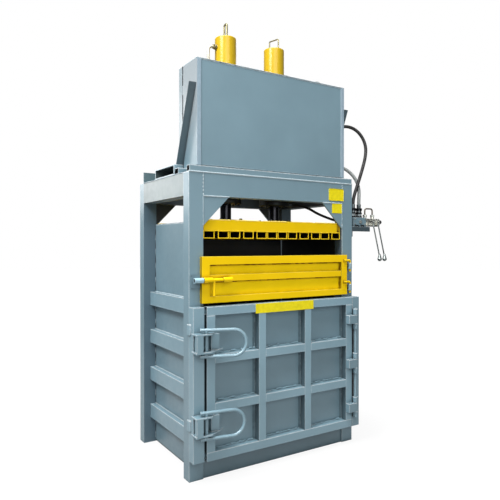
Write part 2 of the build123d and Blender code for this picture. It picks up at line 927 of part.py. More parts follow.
def second_rail():
    y0 = front + second_rail_setback
    rail = hollow(-half_width + top_rail_inset, half_width - top_rail_inset, y0, y0 + second_rail_depth, frame_height, rail_top,
                  top_rail_wall, "x")
    return rail + block(-tank_width / 2, tank_width / 2, y0, tank_back, rail_top, tank_bottom)


def crosshead():
    shape = hollow(-half_width, half_width, crosshead_front, crosshead_back, frame_height, crosshead_top,
                   crosshead_wall, "x")
    for x in cylinder_xs:
        shape = shape - upright(x, cylinder_y, frame_height - 1, crosshead_top + 1, barrel_radius + hole_clearance)
    return shape


def oil_tank():
    half = tank_width / 2
    z1 = tank_top - tank_sheet
    shape = block(-half, half, tank_front, tank_back, tank_bottom, z1)
    shape = shape - block(-half + tank_band, half - tank_band, tank_front - 1, tank_front + tank_recess,
                          tank_bottom - 1, z1 + 1)
    sheet = tank_sheet + tank_recess
    return shape - block(-half + sheet, half - sheet, tank_front + sheet, tank_back - sheet,
                         tank_bottom + tank_sheet, z1 + 1)


def tank_lid():
    half = tank_width / 2
    lid = block(-half, half, tank_front, tank_back, tank_top - tank_sheet, tank_top)
    return lid


def filler_cap():
    y = (tank_front + tank_back) / 2
    neck = upright(filler_x, y, tank_top, tank_top + filler_height / 2, filler_radius * 0.7)
    cap = upright(filler_x, y, tank_top + filler_height / 2, tank_top + filler_height, filler_radius)
    return neck + chamfer(cap.edges().sort_by(Axis.Z)[-1], 3)


def rear_post():
    x0 = -tank_width / 2
    y0 = tank_back + rear_post_gap
    wall = rear_post_wall
    low = crosshead_top
    post = block(x0, x0 + rear_post_width, y0, y0 + rear_post_depth, low, tank_top)
    post = post - block(x0 + wall, x0 + rear_post_width + 1, y0 + wall, y0 + rear_post_depth - wall, low - 1,
                        tank_top + 1)
    tie_top = tank_top - rear_tie_top
    tie = block(x0, x0 + rear_post_width, tank_back, y0, tie_top - rear_tie_height, tie_top)
    return post + tie


def brace():
    """Sloping angle iron between the tank's side and the crosshead's end."""
    x1 = -tank_width / 2
    y_top, z_top = front + brace_top_setback, brace_top_height
    y_foot, z_foot = front + brace_foot_setback, crosshead_top
    half = brace_width / 2
    y_heel = y_foot - half + brace_foot_trim
    leaf = [(y_top - half, z_top), (y_top + half, z_top), (y_foot + half, z_foot), (y_heel, z_foot)]
    web = plate_yz(leaf, x1 - brace_thickness, x1)
    edge = [(y_top - half, z_top), (y_top - half + brace_thickness, z_top),
            (y_heel + brace_thickness, z_foot), (y_heel, z_foot)]
    return web + plate_yz(edge, x1 - brace_width, x1)


def motor_plate():
    y0 = cylinder_y + flange_radius + motor_plate_gap
    y1 = back - motor_plate_inset
    x0, x1 = motor_plate_left, inner_half - ear_thickness
    plate = block(x0, x1, y0, y1, crosshead_top, crosshead_top + motor_plate_thickness)
    bearer = hollow(x0, x1, y1 - motor_bearer_depth, y1, frame_height, crosshead_top, top_rail_wall, "x")
    return plate + bearer


def pump_motor():
    """Electric motor with cooling fins, feet and a terminal box."""
    base = crosshead_top + motor_plate_thickness
    z = base + motor_lift
    y = front + motor_setback
    x0, x1 = motor_x - motor_length / 2, motor_x + motor_length / 2
    body = round_x(x0, x1, y, z, motor_radius - motor_fin_depth)
    pitch = (motor_length - 2 * motor_fin_margin) / (motor_fin_count - 1)
    for n in range(motor_fin_count):
        x = x0 + motor_fin_margin + n * pitch
        body = body + round_x(x - motor_fin_half, x + motor_fin_half, y, z, motor_radius)
    inset, half, height = motor_foot
    feet = block(x0 + inset, x1 - inset, y - half, y + half, base, base + height)
    inset, half = motor_web
    web = block(x0 + inset, x1 - inset, y - half, y + half, base, z)
    half = terminal_half
    terminal = block(motor_x - half, motor_x + half, y - half, y + half, z, z + motor_radius + terminal_rise)
    return body + feet + web + terminal


def fan_cover():
    z = crosshead_top + motor_plate_thickness + motor_lift
    y = front + motor_setback
    x0 = motor_x + motor_length / 2
    cover = round_x(x0, x0 + fan_cover_length, y, z, motor_radius)
    return fillet(cover.edges().sort_by(Axis.X)[-1], fan_cover_edge)


def bell_housing():
    z = crosshead_top + motor_plate_thickness + motor_lift
    y = front + motor_setback
    x1 = motor_x - motor_length / 2
    bell = round_x(x1 - bell_length, x1, y, z, bell_radius)
    return chamfer(bell.edges().sort_by(Axis.X)[0], bell_chamfer)


def gear_pump():
    """Pump block on the bell housing, with its pressure port on top."""
    z = crosshead_top + motor_plate_thickness + motor_lift
    y = front + motor_setback
    x1 = motor_x - motor_length / 2 - bell_length
    half = pump_size / 2
    body = block(x1 - pump_length, x1, y - half, y + half, z - half, z + half)
    body = fillet(body.edges().filter_by(Axis.X), pump_edge)
    port_x, port_y, port_top = pump_port()
    return body + upright(port_x, port_y, z, port_top, pump_port_radius)


def pump_port():
    """Top of the pump's pressure port."""
    z = crosshead_top + motor_plate_thickness + motor_lift + pump_size / 2 + pump_port_length
    return motor_x - motor_length / 2 - bell_length - pump_length / 2, front + motor_setback, z


def valve_shelf():
    """Bracket on the right column: a shelf with a turned-down front edge and a wall plate."""
    x0, x1 = half_width, half_width + shelf_length
    y0, y1 = front, front + shelf_width
    shelf = block(x0, x1, y0, y1, shelf_top - shelf_thickness, shelf_top)
    lip = block(x0, x1, y0, y0 + shelf_thickness, shelf_height, shelf_top)
    wall = block(x0, x0 + shelf_thickness, y0, y0 + column_depth, shelf_height - shelf_wall_drop, shelf_top)
    return shelf + lip + wall


def valve_manifold():
    """Port block on the shelf, cut away below between its feet."""
    x0 = half_width + manifold_x
    length, height, depth = manifold_size
    body = block(x0, x0 + length, valve_front, valve_front + depth, shelf_top, shelf_top + height)
    body = chamfer(body.edges().filter_by(Axis.Z), manifold_edge)
    for offset, width in manifold_foot_gaps:
        body = body - block(x0 + offset, x0 + offset + width, valve_front - 1, valve_front + depth + 1,
                            shelf_top - 1, shelf_top + manifold_foot_height)
    return body


def valve_body():
    """Two-spool valve on the end of the manifold, with a clevis for each lever and two pipe ports."""
    x0 = valve_left()
    height, depth = valve_body_size
    z0 = shelf_top + valve_body_lift
    y0 = valve_front + valve_body_setback
    body = block(x0, x0 + valve_body_length, y0, y0 + depth, z0, z0 + height)
    body = chamfer(body.edges().filter_by(Axis.X), valve_body_edge)
    low, high = lever_cheek_heights
    for middle in lever_places():
        gap = lever_boss_width / 2 + lever_cheek_gap
        for side in (-1, 1):
            inner, outer = middle + side * gap, middle + side * (gap + lever_cheek)
            cheek = block(min(inner, outer), max(inner, outer), y0 - lever_cheek_reach, y0, z0 + low, z0 + high)
            body = body + cheek
        reach = lever_boss_width / 2 + lever_pin_tail
        body = body + round_x(middle - reach, middle + reach, lever_pivot_y(), lever_pivot_z(), lever_pin_radius)
    for offset in valve_ports:
        body = body + upright(x0 + offset, fitting_y(), z0 + height, valve_port_top(), valve_port_radius)
    return body


def valve_left():
    return half_width + manifold_x + manifold_size[0]


def valve_port_top():
    return shelf_top + valve_body_lift + valve_body_size[0] + valve_port_height


def lever_pivot_y():
    return valve_front + valve_body_setback - lever_pivot_stand_off


def lever_pivot_z():
    return shelf_top + valve_body_lift + lever_pivot_rise


def lever_places():
    return [valve_left() + offset for offset in lever_offsets]


def valve_lever(x):
    """Control lever: a boss on its pin, a leaning rod and a pear-shaped knob."""
    y, z = lever_pivot_y(), lever_pivot_z()
    half = lever_boss_width / 2
    boss = round_x(x - half, x + half, y, z, lever_boss_radius)
    boss = boss - round_x(x - half - 1, x + half + 1, y, z, lever_pin_radius + running_gap)
    knee_z = z - lever_knee
    lean = radians(lever_lean)
    end_x, end_y = x + lever_length * sin(lean), y - lever_end_stand_off
    end_z = knee_z - lever_length * cos(lean)
    root_y, root_z = y - lever_boss_radius + lever_root[0], z - lever_root[1]
    points = [(x, root_y, root_z), (x, y - lever_boss_radius - 2, knee_z), (end_x, end_y, end_z)]
    rod = bent_bar(points, lever_bend, lever_rod_radius)
    knob_z = end_z - lever_knob_lift
    knob = Pos(end_x, end_y, knob_z) * Sphere(lever_knob_radius)
    low, high = lever_neck_radii
    neck = Pos(end_x, end_y, knob_z + lever_neck_height / 2 + low / 2) * Cone(low, high, lever_neck_height)
    return boss + rod + knob + neck


def relief_knob():
    x0 = valve_left() + valve_body_length
    y = valve_front + valve_body_setback + valve_body_size[1] / 2
    z = shelf_top + valve_body_lift + valve_body_size[0] * relief_knob_height
    radius, length = relief_stem
    stem = round_x(x0, x0 + length, y, z, radius)
    return stem + round_x(x0 + length, x0 + length + relief_knob_length, y, z, relief_knob_radius)


def hose_fittings():
    """Swivel nuts that join the two upright hoses to the manifold."""
    fittings = []
    z0 = shelf_top + manifold_size[1]
    for x in fitting_xs():
        nut = Pos(x, fitting_y(), z0) * extrude(RegularPolygon(fitting_nut_radius, 6), fitting_nut_height)
        sleeve = upright(x, fitting_y(), z0 + fitting_nut_height, z0 + fitting_height, fitting_sleeve_radius)
        fittings.append(nut + sleeve)
    return group(fittings)


def fitting_xs():
    middle = half_width + manifold_x + manifold_size[0] / 2 - fitting_offset
    return (middle - fitting_spread / 2, middle + fitting_spread / 2)


def fitting_y():
    return valve_front + manifold_size[2] / 2


def valve_pipe():
    """Small steel pipe that arches from one port of the valve to the other."""
    xa, xb = [valve_left() + offset for offset in valve_ports]
    z_top = shelf_top + valve_pipe_rise
    y = fitting_y()
    points = [(xa, y, valve_port_top()), (xa, y, z_top), (xb, y, z_top), (xb, y, valve_port_top())]
    return bent_bar(points, valve_pipe_bend, valve_pipe_radius)


def tank_pipe():
    """Pipe from the left cylinder's upper port down and into the tank's back."""
    x = cylinder_xs[0] - barrel_radius - port_length
    z = barrel_top - port_drop
    drop_x = x - tank_pipe_reach
    low = z - tank_pipe_drop
    points = [(x, cylinder_y, z), (drop_x, cylinder_y, z), (drop_x, cylinder_y, low), (drop_x, tank_back, low)]
    return bent_bar(points, tank_pipe_bend, small_hose_radius)


def suction_pipe():
    """Pipe from the tank's back between the cylinders to the pump's end."""
    z = crosshead_top + motor_plate_thickness + motor_lift
    y = front + motor_setback
    x = motor_x - motor_length / 2 - bell_length - pump_length
    turn_x = x - suction_pipe_reach
    return bent_bar([(x, y, z), (turn_x, y, z), (turn_x, tank_back, z)], suction_pipe_bend, large_hose_radius)


def feed_hose_points():
    """Black hose from the right cylinder's upper port, out past the tank and down to the valve."""
    x, y, z = cylinder_xs[1] + barrel_radius + port_length, cylinder_y, feed_port_height
    end_x, end_y = fitting_xs()[0], fitting_y()
    end_z = shelf_top + manifold_size[1] + fitting_height
    return [(x, y, z), (x + 80, y, z), (x + 168, y - 4, z - 38), (x + 224, y - 12, z - 116), (x + 260, y - 22, z - 208),
            (x + 316, y - 35, z - 290), (x + 398, y - 53, z - 344), (x + 490, y - 75, z - 352),
            (x + 570, y - 98, z - 330), (x + 650, y - 124, z - 356), (x + 703, y - 149, z - 422),
            (x + 714, y - 175, z - 506), (x + 678, y - 203, z - 596), (x + 614, y - 237, z - 694),
            (end_x + 109, end_y + 38, end_z + 258), (end_x + 54, end_y + 12, end_z + 182),
            (end_x + 16, end_y + 1, end_z + 116), (end_x, end_y, end_z + 56), (end_x, end_y, end_z)]


def pressure_hose_points():
    """Grey hose from the pump's top, over beside the motor, out under the tank's edge and down to the valve."""
    x, y, z = pump_port()
    end_x, end_y = fitting_xs()[1], fitting_y()
    end_z = shelf_top + manifold_size[1] + fitting_height
    return [(x, y, z), (x, y, z + 84), (x + 32, y - 30, z + 164), (x + 96, y - 84, z + 200), (x + 186, y - 130, z + 190),
            (x + 280, y - 168, z + 140), (x + 372, y - 200, z + 62), (x + 457, y - 236, z + 2),
            (x + 553, y - 270, z - 32), (x + 643, y - 310, z - 52), (x + 703, y - 372, z - 86),
            (x + 725, y - 442, z - 150), (end_x + 57, end_y + 72, end_z + 218), (end_x + 25, end_y + 20, end_z + 148),
            (end_x, end_y, end_z + 76), (end_x, end_y, end_z)]


def rod_hose_points():
    """Black hose from the right cylinder's lower port, out through the side opening to the manifold."""
    x, y, z = cylinder_xs[1] + flange_radius + port_length, cylinder_y, barrel_bottom - gland_port_drop
    end_x, end_y, end_z = half_width + manifold_x + 24, valve_front + manifold_size[2], shelf_top + 40
    return [(x, y, z), (x + 60, y, z), (x + 130, y - 7, z + 2), (x + 196, y - 29, z - 18), (x + 253, y - 65, z - 60),
            (x + 335, y - 113, z - 98), (end_x - 22, end_y + 116, end_z + 10), (end_x, end_y + 60, end_z),
            (end_x, end_y, end_z)]


def hose(points, radius, name):
    radii = bend_radii(points)
    print(name, "bend radii", [round(r) for r in radii])
    return bent_bar(points, radii, radius)


os.makedirs("parts", exist_ok=True)

write(group([front_column(), mirrored(front_column())]), "front_columns")
write(group([rear_column(), mirrored(rear_column())]), "rear_columns")
write(group([cross_beam(front), cross_beam(rear_front)]), "cross_top_beams")
write(group([side_beam(), mirrored(side_beam())]), "side_top_beams")
write(group([gusset(front), mirrored(gusset(front)), gusset(back - gusset_thickness),
             mirrored(gusset(back - gusset_thickness))]),
      "corner_gussets")
write(base_beams(), "base_beams")
write(chamber_floor(), "chamber_floor")
write(group([side_wall(), mirrored(side_wall())]), "side_walls")
write(rear_wall(), "rear_wall")
write(group(side_ribs() + [mirrored(rib) for rib in side_ribs()]), "side_ribs")
write(group(rear_ribs()), "rear_ribs")
write(latch_post(), "latch_post")
write(hinge_post(), "hinge_post")
write(post_knuckles(), "post_hinge_knuckles")
write(door_hinge_pin(), "door_hinge_pin")
write(keeper_hooks(), "latch_keepers")
write(feed_sockets(), "upper_door_sockets")
write(bolt_keeper(), "bolt_keeper")
write(group([front_rail(), second_rail()]), "top_rails")
write(crosshead(), "cylinder_crosshead")
write(group([barrel(cylinder_xs[0], -1, barrel_top - port_drop), barrel(cylinder_xs[1], 1, feed_port_height)]),
      "cylinder_barrels")
write(group([gland(x) for x in cylinder_xs]), "cylinder_glands")
write(flange_bolts(), "flange_bolts")
write(group([lifting_eye(cylinder_xs[0], eye_width, eye_height, eye_radius, eye_turn),
             lifting_eye(cylinder_xs[1], thin_eye_width, thin_eye_height, thin_eye_radius,
                         thin_eye_turn)]), "lifting_eyes")
write(oil_tank(), "oil_tank")
write(tank_lid(), "tank_lid")
write(filler_cap(), "filler_cap")
write(group([rear_post(), mirrored(rear_post())]), "tank_rear_posts")
write(group([brace(), mirrored(brace())]), "tank_braces")
write(motor_plate(), "motor_plate")
write(pump_motor() + fan_cover(), "pump_motor")
write(bell_housing(), "bell_housing")
write(gear_pump(), "gear_pump")
write(valve_shelf(), "valve_shelf")
write(valve_manifold(), "valve_manifold")
write(valve_body() + relief_knob(), "valve_body")
write(hose_fittings(), "hose_fittings")
write(valve_pipe(), "valve_pipe")
write(tank_pipe(), "tank_pipe")
write(suction_pipe(), "suction_pipe")
write(hose(feed_hose_points(), large_hose_radius, "feed hose"), "feed_hose")
write(hose(pressure_hose_points(), large_hose_radius, "pressure hose"), "pressure_hose")
write(hose(rod_hose_points(), small_hose_radius, "rod hose"), "rod_side_hose")
write(platen_tubes(), "platen_tubes")
write(platen_beams(), "platen_beams")
write(guide_shoes(), "platen_guide_shoes")
write(group([piston_rod(x) for x in cylinder_xs]), "piston_rods")
write(feed_door_frame() + feed_hinge_pins() + bolt_sleeves(), "upper_door_frame")
write(feed_door_panel(), "upper_door_panel")
write(slide_bolt(), "slide_bolt")
write(lower_door_plate(), "lower_door_plate")
write(lower_door_uprights(), "lower_door_uprights")
write(lower_door_crossbars(), "lower_door_crossbars")
write(door_straps(), "lower_door_hinge_straps")
write(group([latch_fork(z) for z in latch_heights]), "latch_forks")
write(latch_lever(latch_heights[0], latch_swings[0]), "upper_latch_lever")
write(latch_lever(latch_heights[1], latch_swings[1]), "lower_latch_lever")
write(valve_lever(lever_places()[0]), "left_valve_lever")
write(valve_lever(lever_places()[1]), "right_valve_lever")
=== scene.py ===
"""Looks of an upright recycling baler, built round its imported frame."""

import json
import math
import random

import bpy
from bpy.props import FloatProperty, FloatVectorProperty, PointerProperty
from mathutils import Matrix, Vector


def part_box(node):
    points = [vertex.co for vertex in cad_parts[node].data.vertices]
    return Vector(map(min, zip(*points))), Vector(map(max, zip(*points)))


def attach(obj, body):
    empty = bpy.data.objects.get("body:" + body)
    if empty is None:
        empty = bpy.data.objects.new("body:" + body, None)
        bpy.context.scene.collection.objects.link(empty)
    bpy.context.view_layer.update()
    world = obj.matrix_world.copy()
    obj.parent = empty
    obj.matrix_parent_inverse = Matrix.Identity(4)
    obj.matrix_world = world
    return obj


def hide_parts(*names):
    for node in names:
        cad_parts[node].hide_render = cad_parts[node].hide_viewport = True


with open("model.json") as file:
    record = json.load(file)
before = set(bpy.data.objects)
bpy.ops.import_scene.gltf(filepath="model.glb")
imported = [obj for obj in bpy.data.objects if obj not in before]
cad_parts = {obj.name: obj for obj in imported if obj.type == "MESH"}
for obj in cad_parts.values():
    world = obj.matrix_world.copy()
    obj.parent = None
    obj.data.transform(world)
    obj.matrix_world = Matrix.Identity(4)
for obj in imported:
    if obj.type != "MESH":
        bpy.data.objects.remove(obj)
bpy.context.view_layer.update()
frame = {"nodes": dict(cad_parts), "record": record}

bl_info = {
    "name": "Recycling baler",
    "version": (1, 0, 0),
    "blender": (4, 5, 0),
    "location": "View3D > Sidebar > Baler",
    "description": "Paint, weld beads, plates, hoses and small fittings of an upright recycling baler",
    "category": "Object",
}

NODES = frame["nodes"]
SLOT_OF = {row["node"]: row["material_slot"] for row in frame["record"]["subparts"]}


# Settings


class PaintSettings(bpy.types.PropertyGroup):
    """Colours of the painted, bare and rubber surfaces"""

    frame_colour: FloatVectorProperty(
        name="Frame paint", description="Blue grey of the frame, tank and lower door",
        subtype="COLOR", size=3, min=0, max=1, default=(0.165, 0.262, 0.312))
    yellow_colour: FloatVectorProperty(
        name="Yellow paint", description="Yellow of the platen, upper door and cylinders",
        subtype="COLOR", size=3, min=0, max=1, default=(0.83, 0.55, 0.002))
    # Rusty dirt, and also painted shade, in the corners of the yellow parts
    rust_and_shade_colour: FloatVectorProperty(
        name="Rusty dirt", description="Dirt that gathers in the corners of the yellow parts",
        subtype="COLOR", size=3, min=0, max=1, default=(0.13, 0.045, 0.004))
    steel_colour: FloatVectorProperty(
        name="Bare steel", description="Zinc plated nuts, pipes and levers",
        subtype="COLOR", size=3, min=0, max=1, default=(0.46, 0.48, 0.45))
    iron_colour: FloatVectorProperty(
        name="Dark steel", description="Phosphated valve blocks, glands and pins",
        subtype="COLOR", size=3, min=0, max=1, default=(0.085, 0.095, 0.10))
    sign_colour: FloatVectorProperty(
        name="Sign plate", description="Bare yellow plates on the beam and the door",
        subtype="COLOR", size=3, min=0, max=1, default=(0.84, 0.71, 0.006))


class WeldSettings(bpy.types.PropertyGroup):
    """Sizes of the weld beads"""

    ripple_pitch: FloatProperty(
        name="Ripple pitch", description="Distance from one ripple of a bead to the next",
        unit="LENGTH", min=0.003, max=0.03, default=0.008)
    unevenness: FloatProperty(
        name="Unevenness", description="How far a bead wanders in and out",
        unit="LENGTH", min=0, max=0.01, default=0.003)


class HoseSettings(bpy.types.PropertyGroup):
    """Sizes of the hydraulic hoses"""

    large_diameter: FloatProperty(
        name="Large hose", description="Outer diameter of the feed and pressure hoses",
        unit="LENGTH", min=0.01, max=0.05, default=0.026)
    small_diameter: FloatProperty(
        name="Small hose", description="Outer diameter of the rod side hose",
        unit="LENGTH", min=0.01, max=0.05, default=0.020)


class FittingSettings(bpy.types.PropertyGroup):
    """Sizes of the valve's nuts, the hose ferrules and the bolts"""

    nut_radius: FloatProperty(
        name="Union nut", description="Corner radius of the valve's union nuts",
        unit="LENGTH", min=0.01, max=0.03, default=0.0225)
    ring_radius: FloatProperty(
        name="Ring", description="Radius of the black rings of the unions",
        unit="LENGTH", min=0.01, max=0.03, default=0.0255)
    ferrule_length: FloatProperty(
        name="Ferrule", description="Length of the crimped sleeve at each hose end",
        unit="LENGTH", min=0.02, max=0.08, default=0.042)
    bolt_radius: FloatProperty(
        name="Bolt", description="Corner radius of the larger bolt heads",
        unit="LENGTH", min=0.004, max=0.02, default=0.011)


class StageSettings(bpy.types.PropertyGroup):
    """Camera and lamps"""

    focal_length: FloatProperty(
        name="Focal length", description="Lens of the camera", subtype="DISTANCE_CAMERA",
        min=10, max=200, default=37.5)
    side_light: FloatProperty(
        name="Side light", description="Strength of the lamps at the left", unit="POWER",
        min=0, max=5000, default=39)
    top_light: FloatProperty(
        name="Top light", description="Strength of the large lamp overhead", unit="POWER",
        min=0, max=5000, default=800)
    front_light: FloatProperty(
        name="Front light", description="Strength of the large lamp behind the camera", unit="POWER",
        min=0, max=5000, default=198)
    sky: FloatProperty(
        name="Sky", description="Strength of the even light from all round", min=0, max=2, default=0.16)


# Small helpers


def deselect():
    """Nothing selected and no mesh in edit mode."""
    if bpy.context.object and bpy.context.object.mode != "OBJECT":
        bpy.ops.object.mode_set(mode="OBJECT")
    bpy.ops.object.select_all(action="DESELECT")


def pick(obj):
    """Only obj selected, and active."""
    deselect()
    obj.select_set(True)
    bpy.context.view_layer.objects.active = obj


def settle(obj):
    """Place, turn and size of obj go into its mesh."""
    pick(obj)
    bpy.ops.object.transform_apply(location=True, rotation=True, scale=True)


def apply_modifiers(obj):
    """The modifiers of obj go into its mesh, in order."""
    pick(obj)
    for modifier in list(obj.modifiers):
        bpy.ops.object.modifier_apply(modifier=modifier.name)


def joined(objects, name):
    """One piece from several meshes."""
    deselect()
    for obj in objects:
        obj.select_set(True)
    bpy.context.view_layer.objects.active = objects[0]
    if len(objects) > 1:
        bpy.ops.object.join()
    piece = bpy.context.object
    piece.name = name
    settle(piece)
    return piece


def hand_over(piece, body, material):
    """Material, body and slot of a finished piece."""
    piece.data.materials.clear()
    piece.data.materials.append(material)
    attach(piece, body)


def copy_of(master, place, turn=(0, 0, 0), size=(1, 1, 1)):
    """A copy of a mesh with its own data, at its place."""
    twin = master.copy()
    twin.data = master.data.copy()
    bpy.context.scene.collection.objects.link(twin)
    twin.location = place
    twin.rotation_euler = turn
    twin.scale = size
    return twin


def added(name, data):
    """A new object that holds data."""
    obj = bpy.data.objects.new(name, data)
    bpy.context.scene.collection.objects.link(obj)
    return obj


def block(middle, size):
    """A plain block, the start of a plate or a joint."""
    deselect()
    bpy.ops.mesh.primitive_cube_add(size=1, location=middle)
    piece = bpy.context.object
    piece.dimensions = size
    settle(piece)
    return piece


def soften(obj, width):
    """The edges of obj rounded a little."""
    modifier = obj.modifiers.new("soften", "BEVEL")
    modifier.width = width
    modifier.segments = 2
    modifier.limit_method = "ANGLE"
    apply_modifiers(obj)


def turned(rings, sides=24, place=(0, 0, 0), axis=(0, 0, 1)):
    """A solid grown ring by ring from (radius, height) pairs. Six sides make a nut."""
    deselect()
    radius, height = rings[0]
    foot = (0, 0, height)
    bpy.ops.mesh.primitive_circle_add(vertices=sides, radius=radius, fill_type="NGON", location=foot)
    piece = bpy.context.object
    bpy.ops.object.transform_apply(location=True)
    bpy.ops.object.mode_set(mode="EDIT")
    bpy.ops.mesh.select_all(action="SELECT")
    for wider, higher in rings[1:]:
        bpy.ops.mesh.extrude_region_move(TRANSFORM_OT_translate={"value": (0, 0, higher - height)})
        bpy.ops.transform.resize(value=(wider / radius, wider / radius, 1), center_override=(0, 0, higher))
        radius, height = wider, higher
    bpy.ops.mesh.select_all(action="SELECT")
    bpy.ops.mesh.normals_make_consistent(inside=False)
    bpy.ops.object.mode_set(mode="OBJECT")
    piece.rotation_euler = Vector(axis).to_track_quat("Z", "Y").to_euler()
    piece.location = place
    settle(piece)
    return piece


def collar(radius, low, high, edge=0.001):
    """Rings of a short cylinder with broken edges."""
    return [(radius - edge, low), (radius, low + edge), (radius, high - edge), (radius - edge, high)]


def finished(pieces, name, body, material):
    """Turned pieces joined, shaded and handed over."""
    piece = joined(pieces, name)
    pick(piece)
    bpy.ops.object.shade_smooth_by_angle(angle=math.radians(35))
    hand_over(piece, body, MATERIALS[material])


def toned(colour, share):
    """A colour made darker or lighter by a share."""
    return tuple(c * share for c in colour)


# Places on the frame, in metres


LOW, HIGH = 0, 1


def side_of(node, end, axis):
    """Where a node begins or ends along an axis, to a tenth of a millimetre."""
    return round(getattr(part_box(node)[end], axis), 4)


def middle_of(node, axis):
    """The middle of a node along an axis, to a tenth of a millimetre."""
    return round(sum(getattr(corner, axis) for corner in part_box(node)) / 2, 4)


HALF_WIDTH, COLUMN_X = side_of("front_columns", HIGH, "x"), side_of("side_ribs", HIGH, "x")
INNER_X, WALL_X = side_of("cross_top_beams", HIGH, "x"), side_of("side_walls", HIGH, "x")
WALL_TOP, REAR_WALL_Y = side_of("side_walls", HIGH, "z"), side_of("rear_wall", HIGH, "y")
COLUMN_EDGE = side_of("side_ribs", HIGH, "y")
HEAD_FRONT, HEAD_LOW = side_of("cross_top_beams", LOW, "y"), side_of("cross_top_beams", LOW, "z")
FRAME_TOP, GUSSET_LOW = side_of("cross_top_beams", HIGH, "z"), side_of("corner_gussets", LOW, "z")
RIB_HALF, RIB_STEP = 0.05, 0.282
RIB_HEIGHTS = [round(side_of("side_ribs", LOW, "z") + RIB_HALF + n * RIB_STEP, 4) for n in range(4)]
CYLINDER_Y, CYLINDER_TOP = middle_of("cylinder_barrels", "y"), side_of("cylinder_barrels", HIGH, "z")
FLANGE_RADIUS = 0.115
CYLINDER_X = round(side_of("cylinder_barrels", HIGH, "x") - FLANGE_RADIUS, 4)
VALVE_Y, VALVE_Z = -0.369, middle_of("valve_manifold", "z")


# Materials


MATERIALS = {}
# Colours of the painted highlight on upper edges: pale, soft and yellow
PALE_HIGHLIGHT, SOFT_HIGHLIGHT, YELLOW_HIGHLIGHT = (0.76, 0.82, 0.84), (0.36, 0.41, 0.44), (0.95, 0.74, 0.08)


